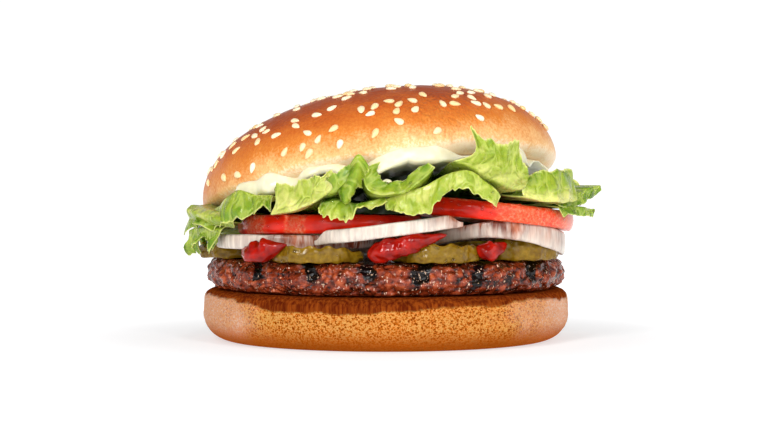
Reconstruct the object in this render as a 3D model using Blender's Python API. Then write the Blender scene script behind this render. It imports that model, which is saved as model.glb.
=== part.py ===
"""Flame-grilled hamburger in a sesame bun, built as separate closed solids.

Blender 4.5, metres, +Z up. The origin is the centre of the heel's flat underside, and the side
that the burger shows off faces -Y. Sizes below are in millimetres and are turned into metres by MM
where a mesh is made. Angles in the tables are in degrees.
"""

import math
import random
from dataclasses import dataclass

import bmesh
import bpy
from mathutils import Matrix, Vector, noise

MM = 0.001
GAP = 0.3  # clear space between pieces that rest on each other

# The bun's lower half
HEEL_RADIUS = 60.0
HEEL_HEIGHT = 17.0
HEEL_FOOT_RADIUS = 50.5
HEEL_FOOT_RISE = 8.5
HEEL_UNEVEN = 0.5

# The patty
PATTY_RADIUS = 58.6
PATTY_THICKNESS = 10.0
PATTY_BOTTOM = HEEL_HEIGHT + GAP
PATTY_TOP = PATTY_BOTTOM + PATTY_THICKNESS
PATTY_FLAT_RADIUS = 50.0
PATTY_CRAG = 0.7
GRILL_BAR_PITCH = 17.3
GRILL_BAR_FIRST = -40.2
GRILL_BAR_COUNT = 6
GRILL_BAR_HALF_WIDTH = 3.4
GRILL_BAR_DEPTH = 1.3

# The bun's upper half, in its own frame: z = 0 at its widest. It sits tipped back and to the left
CROWN_RADIUS = 58.5
CROWN_DOME = 28.2
CROWN_POWER = 2.09
CROWN_UNDER = 4.2
CROWN_CUT_RADIUS = 51.5
CROWN_CENTRE = (-2.0, 0.0, 51.6)
CROWN_TIP_BACK = 11.5
CROWN_TIP_LEFT = 8.7
SEED_COUNT = 88
SEED_LENGTH = 3.6
SEED_WIDTH = 2.2
SEED_HEIGHT = 1.4
SEED_SPACING = 3.9
SEED_SIDES = 5
SEED_LOWEST = 84.0

# Mayonnaise, spread under the crown and squeezed out in lobes
MAYO_RADIUS = 53.8
MAYO_THICKNESS = 1.2
MAYO_SWELL = 1.6
# Lobes: direction, half width, and how far each hangs down
MAYO_LOBES = (
    (-126, 13, 3.4),
    (-92, 12, 4.6),
    (-72, 9, 3.6),
    (-38, 11, 3.4),
    (4, 14, 3.0),
    (46, 13, 1.8),
)

# Tomato slices: place of the underside's centre, tip back, tip right, radius, thickness
TOMATOES = {
    "tomato_left": ((-18.0, -18.6, 34.4), 2.6, 0.0, 29.0, 6.3),
    "tomato_right": ((30.6, -20.0, 39.1), 3.5, 5.8, 29.0, 5.7),
}

# Crinkle-cut pickle slices: x, y, radius, turn of the crinkles
PICKLE_THICKNESS = 2.3
PICKLE_CRINKLE = 0.45
PICKLE_WAVE = 5.6
PICKLES = {
    "pickle_left": (-47.4, -13.0, 13.2, 20.0),
    "pickle_front_left": (-21.0, -42.3, 14.4, 8.0),
    "pickle_front_right": (15.4, -43.0, 13.8, -12.0),
    "pickle_right": (41.2, -26.5, 13.4, 30.0),
    "pickle_back_right": (27.0, 40.0, 13.6, 60.0),
    "pickle_back_left": (-32.0, 34.5, 12.8, 110.0),
}


@dataclass
class OnionRing:
    """A ring cut from an onion slice, or a stretch of one. Its underside passes low at its centre,
    climbs by slope, sags by arch to both sides of its x, and it grows taller in one direction."""

    x: float
    y: float
    low: float
    half_length: float
    half_depth: float
    height: float = 4.0
    wall: float = 2.7
    slope: tuple = (0.0, 0.0)
    arch: float = 0.0
    taller: float = 0.0
    taller_towards: float = 0.0
    start: float = 0.0
    end: float = 360.0
    steps: int = 24


ONIONS = {
    "onion_left": OnionRing(
        -29.0, -25.0, 31.2, 24.0, 20.5, height=3.1, taller=1.0, taller_towards=-100.0
    ),
    "onion_middle": OnionRing(
        3.5,
        -34.0,
        36.0,
        31.0,
        23.6,
        height=4.3,
        wall=2.5,
        slope=(0.13, 0.0),
        start=215,
        end=318,
        steps=13,
    ),
    "onion_right": OnionRing(
        35.0, -20.5, 33.3, 21.0, 24.0, height=4.6, slope=(-0.06, -0.0625), arch=0.0078, taller=2.0
    ),
    "onion_back": OnionRing(3.0, 27.0, 29.6, 19.0, 19.0, height=3.6, slope=(0.091, 0.052)),
}


@dataclass
class Ketchup:
    """A blob along a course of points, with a half width and a half height at each of them."""

    course: tuple
    half_widths: tuple
    half_heights: tuple


KETCHUP = {
    "ketchup_left": Ketchup(
        ((-35.0, -47.5, 31.2), (-39.5, -44.0, 30.3), (-43.5, -38.5, 29.6)),
        (2.8, 3.4, 2.2),
        (2.2, 2.7, 1.9),
    ),
    "ketchup_middle": Ketchup(
        ((-3.5, -53.5, 30.3), (1.0, -56.0, 32.0), (9.0, -56.3, 34.3), (18.0, -53.4, 36.4)),
        (2.6, 2.9, 2.0, 1.5),
        (2.6, 2.6, 1.7, 0.9),
    ),
    "ketchup_right": Ketchup(
        ((30.2, -48.0, 30.4), (32.3, -44.5, 31.2), (33.4, -41.0, 31.2)),
        (2.0, 3.1, 1.9),
        (2.0, 2.9, 1.8),
    ),
}

LEAF_THICKNESS = 0.8
LEAF_STEPS = 6


@dataclass
class Leaf:
    """A lettuce leaf through two or more rails, which run side by side from one end to the other.
    It grows out of the heap, which it reaches from its first rail by the vector back."""

    rails: tuple
    back: tuple
    ruffle: float = 0.7


LEAVES = {
    "left_frill": Leaf(
        (
            (
                (-35, -50, 48.5),
                (-40.5, -50, 48),
                (-46.5, -45, 49),
                (-53, -35, 44),
                (-59, -25, 43),
                (-63, -14, 44),
            ),
            (
                (-35, -54, 44.5),
                (-40.5, -53, 43),
                (-48, -47, 40.5),
                (-55, -38, 38),
                (-61, -27, 37),
                (-65.5, -15, 35),
            ),
        ),
        (19, 17, -4),
        1.3,
    ),
    "left_low": Leaf(
        (
            ((-52, -40, 37), (-57, -32, 37.5), (-63, -22, 36)),
            ((-54, -38, 33), (-58, -30, 31), (-63, -18, 29)),
        ),
        (12, 13, 7),
        1.1,
    ),
    "curl": Leaf(
        (
            ((-35.5, -57, 42.5), (-30, -60, 43.5), (-25.5, -61, 45), (-19, -61, 48.5), (-16, -61, 51)),
            ((-34, -56, 46.5), (-29.5, -58, 47.5), (-24.5, -59, 48.5), (-21, -60, 51), (-16, -60.5, 55)),
            ((-34.5, -52, 52), (-30.5, -55, 52.5), (-25, -58, 53.5), (-20, -60, 55), (-17, -60, 56.5)),
        ),
        (6, 19, 1),
    ),
    "blade": Leaf(
        (
            ((-21.5, -60, 49), (-17, -61, 49.5), (-13, -62, 52), (-9, -62, 56)),
            ((-21.5, -59, 51.5), (-18.5, -60, 53.5), (-15, -61, 56), (-9.5, -61.5, 58)),
        ),
        (4, 21, -4),
    ),
    "fold": Leaf(
        (
            ((-11, -61, 58), (-12, -60, 54.5), (-14.5, -60, 51), (-13.5, -61, 47)),
            ((-8, -62.5, 61), (-9, -64, 56.5), (-10.5, -64, 51.5), (-12.5, -62, 46)),
            ((-5, -61.5, 57.5), (-6.5, -61, 53.5), (-9, -61, 49), (-11.5, -61, 46.5)),
        ),
        (3, 22, -5),
    ),
    "loop": Leaf(
        (
            (
                (-5, -61, 57.5),
                (-6.5, -61, 53.5),
                (-4.5, -61, 49.5),
                (2, -61, 49),
                (8, -61.5, 51),
                (15, -62, 57),
            ),
            (
                (-1.5, -60, 59),
                (-2, -59, 56),
                (-0.5, -58, 52.5),
                (3, -58, 52.5),
                (8, -59, 55),
                (13, -61, 58),
            ),
        ),
        (1, 21, -4),
    ),
    "cup": Leaf(
        (
            ((-20, -57, 46), (-15.5, -58, 46.5), (-10.5, -58, 45.5), (-4.5, -57, 46.5), (0, -56, 48)),
            ((-21, -59, 43.5), (-17, -60, 41.5), (-11.5, -61, 41), (-6, -59, 45), (0, -58, 46)),
        ),
        (2, 18, 1),
    ),
    "ragged": Leaf(
        (
            (
                (-0.5, -57, 47),
                (5, -59, 49),
                (11.5, -60, 51),
                (21, -61, 55.5),
                (27, -60.5, 55),
                (35, -57, 48),
            ),
            (
                (-0.5, -58, 45),
                (5, -61, 43),
                (12.5, -63, 43.5),
                (19, -62, 50),
                (27, -62, 49.5),
                (33.5, -60, 45),
            ),
        ),
        (-1, 20, -1),
    ),
    "upright": Leaf(
        (
            ((21, -61, 59), (27, -60, 56.5), (32.5, -58, 53.5), (37.5, -55, 51), (42, -51, 50)),
            ((27, -63, 61.5), (31.5, -63, 60.5), (35.5, -61, 58), (39, -58, 56), (43, -53, 52)),
            ((25.5, -65, 69), (30, -65, 65.5), (35, -64, 64.5), (41, -61, 63), (43, -55, 56)),
        ),
        (-7, 21, -4),
    ),
    "band": Leaf(
        (
            ((42.5, -52, 48), (49, -50, 46.5), (54.5, -45, 46), (58.5, -35, 46)),
            ((42, -52, 50), (48, -51, 50.5), (54.5, -44, 50.5), (60, -33, 47.5)),
            ((42.5, -50, 53.5), (47.5, -48, 56), (53, -42, 56), (58, -33, 56)),
        ),
        (-19, 20, 1),
    ),
    "tip_high": Leaf(
        (
            ((53, -38, 45.5), (60, -30, 48), (65.5, -22, 50), (69, -18, 50.5)),
            ((54, -40, 44), (60, -32, 44.5), (64.5, -25, 46), (69, -18, 49)),
        ),
        (-30, 14, 1),
        0.4,
    ),
    "tip_low": Leaf(
        (
            ((54, -39, 44.5), (60.5, -32, 44), (66.5, -24, 43)),
            ((55.5, -40, 42), (61, -33, 41.5), (66.5, -25, 41)),
        ),
        (-25, 14, 3),
        0.5,
    ),
}

# Leaves that peep out round the sides and the back: direction, half width, and drop below the bun
SIDE_LEAVES = (
    (14, 17, 5.6),
    (48, 16, 4.6),
    (80, 15, 3.2),
    (112, 16, 3.2),
    (145, 15, 3.2),
    (178, 14, 3.4),
)
SIDE_LEAF_ROOT = 38.0
SIDE_LEAF_FOLD = 57.0
SIDE_LEAF_EDGE = 62.0
SIDE_LEAF_LOW = 32.2

# The heap's own middle, a wedge between the tomatoes and the mayonnaise
HEAP_RADIUS = 38.0
HEAP_CENTRE = (-1.0, -5.0)
HEAP_LOW_BACK = 36.2
HEAP_LOW_FRONT = 42.3


def smoothstep(low, high, x):
    t = min(1.0, max(0.0, (x - low) / (high - low)))
    return t * t * (3.0 - 2.0 * t)


def ripple(x, y, z=0.0, scale=10.0):
    """Smooth noise between about -1 and 1, with features about as large as scale."""
    return 1.6 * noise.noise(Vector((x, y, z)) / scale)


def catmull(points, share):
    """The point at share, from 0 to 1, of a smooth curve through all the points."""
    spans = len(points) - 1
    place = min(share * spans, spans - 1e-9)
    i = int(place)
    t = place - i
    p = [Vector(points[min(max(i + k, 0), spans)]) for k in (-1, 0, 1, 2)]
    return 0.5 * (
        2 * p[1]
        + (p[2] - p[0]) * t
        + (2 * p[0] - 5 * p[1] + 4 * p[2] - p[3]) * t * t
        + (3 * p[1] - p[0] - 3 * p[2] + p[3]) * t**3
    )


def crown_frame():
    """Places the crown's own frame, in millimetres."""
    tip_left = Matrix.Rotation(math.radians(-CROWN_TIP_LEFT), 4, "Y")
    tip_back = Matrix.Rotation(math.radians(-CROWN_TIP_BACK), 4, "X")
    return Matrix.Translation(CROWN_CENTRE) @ tip_left @ tip_back


def cut_height(x, y):
    """Height of the crown's cut face above a place on the floor."""
    frame = crown_frame()
    normal = frame.to_3x3() @ Vector((0, 0, 1))
    on_face = frame @ Vector((0, 0, -CROWN_UNDER))
    return on_face.z - (normal.x * (x - on_face.x) + normal.y * (y - on_face.y)) / normal.z


def material(name, colour, roughness):
    made = bpy.data.materials.new(name)
    made.use_nodes = True
    shader = made.node_tree.nodes["Principled BSDF"]
    shader.inputs["Base Color"].default_value = (*colour, 1.0)
    shader.inputs["Roughness"].default_value = roughness
    shader.inputs["Metallic"].default_value = 0.0
    made.diffuse_color = (*colour, 1.0)
    return made


def solid(name, points, faces, surface, frame=None):
    """Makes an object from points in millimetres and closed faces, and turns the faces outwards."""
    if frame is not None:
        points = [frame @ Vector(p) for p in points]
    mesh = bpy.data.meshes.new(name)
    mesh.from_pydata([Vector(p) * MM for p in points], [], faces)
    shell = bmesh.new()
    shell.from_mesh(mesh)
    bmesh.ops.recalc_face_normals(shell, faces=shell.faces)
    if shell.calc_volume(signed=True) < 0:
        bmesh.ops.reverse_faces(shell, faces=shell.faces)
    shell.to_mesh(mesh)
    shell.free()
    mesh.shade_smooth()
    mesh.set_sharp_from_angle(angle=math.radians(50))
    mesh.materials.append(surface)
    made = bpy.data.objects.new(name, mesh)
    bpy.context.scene.collection.objects.link(made)
    return made


def turned(name, rows, segments, shape, surface, frame=None):
    """A closed turned solid. rows run from the lower pole to the upper one as (radius, height), and
    shape(angle, radius, height) gives each point."""
    points = [shape(0.0, *rows[0])]
    for radius, height in rows[1:-1]:
        for k in range(segments):
            points.append(shape(math.tau * k / segments, radius, height))
    points.append(shape(0.0, *rows[-1]))
    faces = []
    spans = len(rows) - 3
    for k in range(segments):
        after = (k + 1) % segments
        faces.append((0, 1 + after, 1 + k))
        for row in range(spans):
            low = 1 + row * segments
            high = low + segments
            faces.append((low + k, low + after, high + after, high + k))
        top = 1 + spans * segments
        faces.append((top + k, top + after, len(points) - 1))
    return solid(name, points, faces, surface, frame)


def swept(name, sections, closed, surface):
    """Joins sections, which are loops of equally many points, into a ring or a capped bar."""
    size = len(sections[0])
    points = [p for section in sections for p in section]
    spans = len(sections) if closed else len(sections) - 1
    faces = []
    for i in range(spans):
        a = i * size
        b = ((i + 1) % len(sections)) * size
        for k in range(size):
            after = (k + 1) % size
            faces.append((a + k, a + after, b + after, b + k))
    if not closed:
        faces.append(tuple(reversed(range(size))))
        faces.append(tuple(range(len(points) - size, len(points))))
    return solid(name, points, faces, surface)


def sheet(name, grid, thickness, surface):
    """A thin closed sheet on a grid of points, with both faces split into triangles alike."""
    rows, columns = len(grid), len(grid[0])
    offsets = []
    for i in range(rows):
        for j in range(columns):
            along = grid[i][min(j + 1, columns - 1)] - grid[i][max(j - 1, 0)]
            across = grid[min(i + 1, rows - 1)][j] - grid[max(i - 1, 0)][j]
            offsets.append(along.cross(across).normalized() * 0.5 * thickness)
    middle = [p for row in grid for p in row]
    points = [p + n for p, n in zip(middle, offsets)] + [p - n for p, n in zip(middle, offsets)]
    count = rows * columns
    faces = []
    for i in range(rows - 1):
        for j in range(columns - 1):
            a = i * columns + j
            b, c, d = a + 1, a + columns + 1, a + columns
            for triangle in ((a, b, c), (a, c, d)):
                faces.append(triangle)
                faces.append(tuple(count + corner for corner in reversed(triangle)))
    rim = [j for j in range(columns)]
    rim += [i * columns + columns - 1 for i in range(1, rows)]
    rim += [(rows - 1) * columns + j for j in reversed(range(columns - 1))]
    rim += [i * columns for i in reversed(range(1, rows - 1))]
    for a, b in zip(rim, rim[1:] + rim[:1]):
        faces.append((a, a + count, b + count))
        faces.append((a, b + count, b))
    return solid(name, points, faces, surface)


def evaluated_mesh(target):
    bpy.context.view_layer.update()
    graph = bpy.context.evaluated_depsgraph_get()
    return bpy.data.meshes.new_from_object(target.evaluated_get(graph))


def body_volume(body):
    total = 0.0
    for face in body:
        corners = [v.co for v in face.verts]
        for k in range(1, len(corners) - 1):
            total += corners[0].dot(corners[k].cross(corners[k + 1]))
    return total / 6.0


def keep_main_body(target):
    """Drops loose scraps and fills sealed hollows: only the body of the largest volume stays."""
    shell = bmesh.new()
    shell.from_mesh(target.data)
    bodies = []
    unseen = set(shell.faces)
    while unseen:
        stack = [unseen.pop()]
        body = list(stack)
        while stack:
            for edge in stack.pop().edges:
                for face in edge.link_faces:
                    if face in unseen:
                        unseen.remove(face)
                        stack.append(face)
                        body.append(face)
        bodies.append(body)
    main = max(bodies, key=body_volume)
    scraps = [face for body in bodies if body is not main for face in body]
    bmesh.ops.delete(shell, geom=scraps, context="FACES")
    flat = math.radians(1.0)
    bmesh.ops.dissolve_limit(shell, angle_limit=flat, verts=shell.verts, edges=shell.edges)
    bmesh.ops.triangulate(shell, faces=shell.faces)
    shell.to_mesh(target.data)
    shell.free()


def combine(target, others, operation, solver="EXACT"):
    """Joins or cuts target with all the objects in others by one applied Boolean, and removes them."""
    tools = bpy.data.collections.new(target.name + "_tools")
    bpy.context.scene.collection.children.link(tools)
    for other in others:
        bpy.context.scene.collection.objects.unlink(other)
        tools.objects.link(other)
    change = target.modifiers.new(operation.lower(), "BOOLEAN")
    change.operation = operation
    change.operand_type = "COLLECTION"
    change.collection = tools
    change.solver = solver
    target.data = evaluated_mesh(target)
    target.modifiers.clear()
    for other in others:
        bpy.data.objects.remove(other)
    bpy.data.collections.remove(tools)
    keep_main_body(target)
    target.data.set_sharp_from_angle(angle=math.radians(50))
    return target


def make_heel(surface):
    def shape(angle, radius, height):
        x, y = math.cos(angle), math.sin(angle)
        lift = smoothstep(0.0, 4.0, height) * radius / HEEL_RADIUS
        grown = radius + HEEL_UNEVEN * lift * ripple(30 * x, 30 * y, 0.0, 17.0)
        return (grown * x, grown * y, height)

    overhang = HEEL_RADIUS - HEEL_FOOT_RADIUS
    shoulder = HEEL_HEIGHT - 3.6
    rows = [(0, 0), (HEEL_FOOT_RADIUS, 0)]
    for turn in map(math.radians, (26, 56, 90)):
        rows.append((HEEL_FOOT_RADIUS + overhang * math.sin(turn), HEEL_FOOT_RISE * (1 - math.cos(turn))))
    for turn in map(math.radians, (0, 36, 66)):
        rows.append(
            (HEEL_RADIUS - 4.5 + 4.4 * math.cos(turn), shoulder + (HEEL_HEIGHT - shoulder) * math.sin(turn))
        )
    rows += [(HEEL_RADIUS - 5.5, HEEL_HEIGHT), (0, HEEL_HEIGHT)]
    return turned("heel", rows, 50, shape, surface)


def grill_mark(x):
    """1 on the middle of a grill mark, falling to 0 at its edges."""
    nearest = min(abs(x - GRILL_BAR_FIRST - GRILL_BAR_PITCH * bar) for bar in range(GRILL_BAR_COUNT))
    return 1.0 - smoothstep(0.25 * GRILL_BAR_HALF_WIDTH, GRILL_BAR_HALF_WIDTH, nearest)


def make_patty(surface):
    middle = PATTY_BOTTOM + 0.5 * PATTY_THICKNESS

    def shape(angle, radius, height):
        x, y = radius * math.cos(angle), radius * math.sin(angle)
        rim = smoothstep(PATTY_FLAT_RADIUS - 2.0, PATTY_RADIUS - 2.6, radius)
        upper = smoothstep(middle - 2.5, middle + 1.0, height)
        crag = ripple(x, y, 2.2 * height, 7.0) + 0.5 * ripple(x, y, 3.0 * height, 3.4)
        outline = 0.8 * ripple(x, y, 0.0, 30.0)
        push = rim * (PATTY_CRAG * crag + outline - GRILL_BAR_DEPTH * upper * grill_mark(x))
        scale = (radius + push) / radius if radius else 1.0
        sink = rim * (0.5 * upper * grill_mark(x) + 0.3 * abs(crag)) if height > middle else 0.0
        return (x * scale, y * scale, height - sink)

    rows = [(0, PATTY_BOTTOM), (PATTY_FLAT_RADIUS, PATTY_BOTTOM)]
    for turn in map(math.radians, (-60, -28, 0, 28, 60)):
        rows.append(
            (PATTY_RADIUS - 4.6 + 4.6 * math.cos(turn), middle + 0.5 * PATTY_THICKNESS * math.sin(turn))
        )
    rows += [(PATTY_FLAT_RADIUS, PATTY_TOP), (0, PATTY_TOP)]
    return turned("patty", rows, 68, shape, surface)


def crown_height(radius):
    """Height of the dome above the crown's widest level."""
    share = min(1.0, radius / CROWN_RADIUS)
    return CROWN_DOME * (1.0 - share**CROWN_POWER) ** (1.0 / CROWN_POWER)


def crown_shape(angle, radius, height):
    """Makes the crown slightly out of round."""
    x, y = math.cos(angle), math.sin(angle)
    swell = 0.35 * ripple(20 * x, 20 * y, 0.6 * height, 16.0) * radius / CROWN_RADIUS
    return ((radius + swell) * x, (radius + swell) * y, height)


def crown_shell(name, surface, extra=0.0):
    rows = [(0, -CROWN_UNDER - extra), (CROWN_CUT_RADIUS, -CROWN_UNDER - extra)]
    for turn in map(math.radians, (28, 58, 90)):
        rows.append(
            (
                CROWN_CUT_RADIUS + (CROWN_RADIUS + extra - CROWN_CUT_RADIUS) * math.sin(turn),
                -(CROWN_UNDER + extra) * math.cos(turn),
            )
        )
    for share in (0.98, 0.92, 0.82, 0.68, 0.5, 0.3, 0.12):
        radius = share * CROWN_RADIUS
        rows.append((radius * (1 + extra / CROWN_RADIUS), crown_height(radius) + extra))
    rows.append((0, CROWN_DOME + extra))
    return turned(name, rows, 50, crown_shape, surface, crown_frame())


def dome_point(turn, fall):
    """Place and outward normal on the dome, at angles round its axis and down from its top."""
    across, up = math.sin(fall) ** (2 / CROWN_POWER), math.cos(fall) ** (2 / CROWN_POWER)
    steep, flat = across ** (CROWN_POWER - 1) / CROWN_RADIUS, up ** (CROWN_POWER - 1) / CROWN_DOME
    x, y = math.cos(turn), math.sin(turn)
    place = Vector((CROWN_RADIUS * across * x, CROWN_RADIUS * across * y, CROWN_DOME * up))
    return place, Vector((steep * x, steep * y, flat)).normalized()


def seed_frames():
    """Frames of the sesame seeds in the crown's frame: x runs along a seed, and z out of the dome.
    They are as close on the steep sides as on top, and thin out just above the widest level."""
    draw = random.Random(21)
    frames = []
    while len(frames) < SEED_COUNT:
        turn, fall = draw.uniform(0, math.tau), math.radians(draw.uniform(1.0, SEED_LOWEST))
        spin, clustered = draw.uniform(0, math.tau), draw.random() < 0.3
        area = math.sin(fall) * math.hypot(math.cos(fall), CROWN_DOME / CROWN_RADIUS * math.sin(fall))
        thin = 1.0 - 0.75 * smoothstep(66.0, SEED_LOWEST, math.degrees(fall))
        if draw.random() > 1.6 * area * thin:
            continue
        place, normal = dome_point(turn, fall)
        if clustered and frames:
            near = draw.choice(frames).translation
            place = near + (place - near).normalized() * 1.1 * SEED_SPACING
            fall = math.atan2(math.hypot(place.x, place.y) / CROWN_RADIUS, max(0.1, place.z) / CROWN_DOME)
            place, normal = dome_point(math.atan2(place.y, place.x), min(fall, math.radians(SEED_LOWEST)))
        if any((place - other.translation).length < SEED_SPACING for other in frames):
            continue
        along = normal.orthogonal().normalized()
        along.rotate(Matrix.Rotation(spin, 3, normal))
        turned_to = Matrix((along, normal.cross(along), normal)).transposed().to_4x4()
        frames.append(Matrix.Translation(place) @ turned_to)
    return frames


def make_seed(index, frame, surface):
    """A tear-shaped sesame seed of two rings and two poles, sunk to its middle."""
    points = [(-0.5 * SEED_LENGTH, 0, 0)]
    for along, girth in ((-0.24, 1.0), (0.16, 0.74)):
        for k in range(SEED_SIDES):
            turn = math.tau * (k + 0.25) / SEED_SIDES
            points.append(
                (
                    along * SEED_LENGTH,
                    0.5 * SEED_WIDTH * girth * math.cos(turn),
                    0.5 * SEED_HEIGHT * girth * math.sin(turn),
                )
            )
    points.append((0.5 * SEED_LENGTH, 0, 0))
    faces = []
    for k in range(SEED_SIDES):
        after = (k + 1) % SEED_SIDES
        faces.append((0, 1 + k, 1 + after))
        faces.append((1 + k, 1 + SEED_SIDES + k, 1 + SEED_SIDES + after, 1 + after))
        faces.append((1 + SEED_SIDES + k, 2 * SEED_SIDES + 1, 1 + SEED_SIDES + after))
    return solid(f"seed_{index}", points, faces, surface, crown_frame() @ frame)


def make_crown(surface):
    crown = crown_shell("crown", surface)
    seeds = [make_seed(i, frame, surface) for i, frame in enumerate(seed_frames())]
    return combine(crown, seeds, "UNION")


def mayo_lobe(angle):
    """How far the mayonnaise hangs down at this angle of its rim."""
    degrees = math.degrees(angle)
    drop = 0.0
    for towards, half_width, depth in MAYO_LOBES:
        away = abs((degrees - towards + 180.0) % 360.0 - 180.0)
        drop = max(drop, depth * (1.0 - smoothstep(0.35 * half_width, 1.25 * half_width, away)))
    return drop


def make_mayo(name, surface, extra=0.0):
    top = -CROWN_UNDER - GAP

    def shape(angle, radius, height):
        rim = smoothstep(0.8, 0.97, radius / MAYO_RADIUS)
        lobe = mayo_lobe(angle) * rim
        low = smoothstep(top, top - 1.0, height)
        grown = radius + MAYO_SWELL * low * lobe / 4.0
        return (grown * math.cos(angle), grown * math.sin(angle), height - lobe * low)

    rim, low = MAYO_RADIUS + extra, top - MAYO_THICKNESS - extra
    rows = [
        (0, low),
        (0.84 * rim, low),
        (0.95 * rim, low - 0.2),
        (rim, top - 0.8),
        (0.985 * rim, top + extra),
        (0, top + extra),
    ]
    return turned(name, rows, 48, shape, surface, crown_frame())


def make_tomato(name, spec, surface, extra=0.0):
    place, tip_back, tip_right, radius, thickness = spec
    frame = (
        Matrix.Translation(place)
        @ Matrix.Rotation(math.radians(tip_right), 4, "Y")
        @ Matrix.Rotation(math.radians(-tip_back), 4, "X")
    )

    def shape(angle, r, height):
        lobes = 1.0 + 0.012 * math.sin(5 * angle + 1.0) + 0.008 * math.sin(3 * angle)
        return (r * lobes * math.cos(angle), r * lobes * math.sin(angle), height)

    wide = radius + extra
    rows = [
        (0, -extra),
        (wide - 1.0, -extra),
        (wide - 0.2, 0.22 * thickness),
        (wide, 0.6 * thickness),
        (wide - 0.9, thickness + extra),
        (0, thickness + extra),
    ]
    return turned(name, rows, 32, shape, surface, frame)


def make_pickle(name, spec, surface, extra=0.0):
    """A slice cut with a crinkled blade, whose rim has the warts of the skin."""
    x, y, radius, turn = spec
    turn = math.radians(turn)
    base = PATTY_TOP + GAP + PICKLE_CRINKLE

    def shape(angle, r, height):
        wart = 1.0 + 0.025 * math.sin(7 * angle + x) + 0.015 * math.sin(11 * angle)
        px, py = r * wart * math.cos(angle), r * wart * math.sin(angle)
        across = px * math.cos(turn) + py * math.sin(turn)
        crinkle = PICKLE_CRINKLE * math.sin(math.tau * across / PICKLE_WAVE)
        return (x + px, y + py, base + height + crinkle)

    rows = [
        (0, -extra),
        (radius - 0.6 + extra, -extra),
        (radius + extra, 0.5 * PICKLE_THICKNESS),
        (radius - 0.5 + extra, PICKLE_THICKNESS + extra),
        (0, PICKLE_THICKNESS + extra),
    ]
    return turned(name, rows, 30, shape, surface)


def make_onion(name, ring, surface, extra=0.0):
    """Sweeps a six-sided section round the ring, thinner towards a cut end."""
    whole = ring.end - ring.start >= 360.0
    spans = ring.steps if whole else ring.steps - 1
    corners = ((-1.0, -0.8), (-0.9, 1.0), (0.75, 1.0), (1.0, 0.45), (1.0, -0.6), (0.6, -1.0))
    sections = []
    for k in range(ring.steps):
        share = k / spans
        turn = math.radians(ring.start + (ring.end - ring.start) * share)
        full = 1.0 if whole else 0.22 + 0.78 * smoothstep(0.0, 0.2, min(share, 1.0 - share))
        half_wall = 0.5 * ring.wall * full + extra
        taller = ring.taller * math.cos(turn - math.radians(ring.taller_towards))
        height = (ring.height + taller) * full
        section = []
        for across, up in corners:
            x = (ring.half_length + across * half_wall) * math.cos(turn)
            y = (ring.half_depth + across * half_wall) * math.sin(turn)
            low = ring.low + ring.slope[0] * x + ring.slope[1] * y - ring.arch * x * x
            z = low + 0.5 * height + up * (0.5 * height + extra)
            section.append((ring.x + x, ring.y + y, z))
        sections.append(section)
    return swept(name, sections, whole, surface)


def make_ketchup(name, blob, surface):
    """A blob that fills the room left between the pickles and the onions over it."""
    sides, rings = 8, 4 * len(blob.course) - 3
    sections = []
    for i in range(rings):
        share = (i + 0.12) / (rings - 0.76)
        middle = catmull(blob.course, share)
        ahead = catmull(blob.course, min(1.0, share + 0.05)) - catmull(blob.course, max(0.0, share - 0.05))
        side = ahead.cross(Vector((0, 0, 1))).normalized()
        up = side.cross(ahead.normalized())
        sizes = catmull([(w, h, 0) for w, h in zip(blob.half_widths, blob.half_heights)], share)
        girth = math.sin(math.pi * (0.5 + 0.94 * (share - 0.5))) ** 0.5
        section = []
        for k in range(sides):
            angle = math.tau * k / sides
            bulge = girth * (1.0 + 0.1 * math.sin(3 * angle + i))
            point = middle + (side * sizes.x * math.cos(angle) + up * sizes.y * math.sin(angle)) * bulge
            point.z = max(point.z, PATTY_TOP + GAP + 0.02 * k)
            section.append(point)
        sections.append(section)
    sauce = swept(name, sections, False, surface)
    rooms = [make_onion("room_" + other, ring, surface, GAP) for other, ring in ONIONS.items()]
    rooms += [make_pickle("room_" + other, spec, surface, GAP) for other, spec in PICKLES.items()]
    for room in rooms:
        combine(sauce, [room], "DIFFERENCE")
    return sauce


def make_leaf(name, leaf, seed, surface):
    """A leaf whose blade waves more and more from its first rail to its last."""
    rows = 3 if len(leaf.rails) == 2 else len(leaf.rails)
    grid = []
    for i in range(rows):
        across = i / (rows - 1)
        wave = leaf.ruffle * (0.3 + 0.7 * across)
        row = []
        for j in range(LEAF_STEPS + 1):
            share = j / LEAF_STEPS
            point = catmull([catmull(rail, share) for rail in leaf.rails], across)
            offset = Vector(
                (
                    ripple(point.x, point.z, seed, 7.0),
                    ripple(point.y, point.z, seed + 5.0, 7.0),
                    ripple(point.x + point.y, point.z, seed + 9.0, 8.0),
                )
            )
            row.append(point + wave * offset)
        grid.append(row)
    grid.insert(0, [point + Vector(leaf.back) for point in grid[0]])
    return sheet(name, grid, LEAF_THICKNESS, surface)


def side_leaf(towards, half_width, drop):
    """A leaf under the crown's rim in this direction, which hangs a little past the bun."""
    rails = []
    for radius, fall in ((SIDE_LEAF_ROOT, drop), (SIDE_LEAF_FOLD, drop), (SIDE_LEAF_EDGE, drop + 3.6)):
        rail = []
        for k in range(6):
            turn = math.radians(towards + half_width * (k / 2.5 - 1.0))
            wave = 1.3 * math.sin(2.4 * k + towards) * (radius - SIDE_LEAF_ROOT) / 18.0
            x, y = (radius + wave) * math.cos(turn), (radius + wave) * math.sin(turn)
            rail.append((x, y, max(cut_height(x, y) - fall + 0.8 * wave, SIDE_LEAF_LOW)))
        rails.append(tuple(rail))
    return Leaf(tuple(rails), (-3 * math.cos(turn), -3 * math.sin(turn), 0), 0.8)


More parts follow.
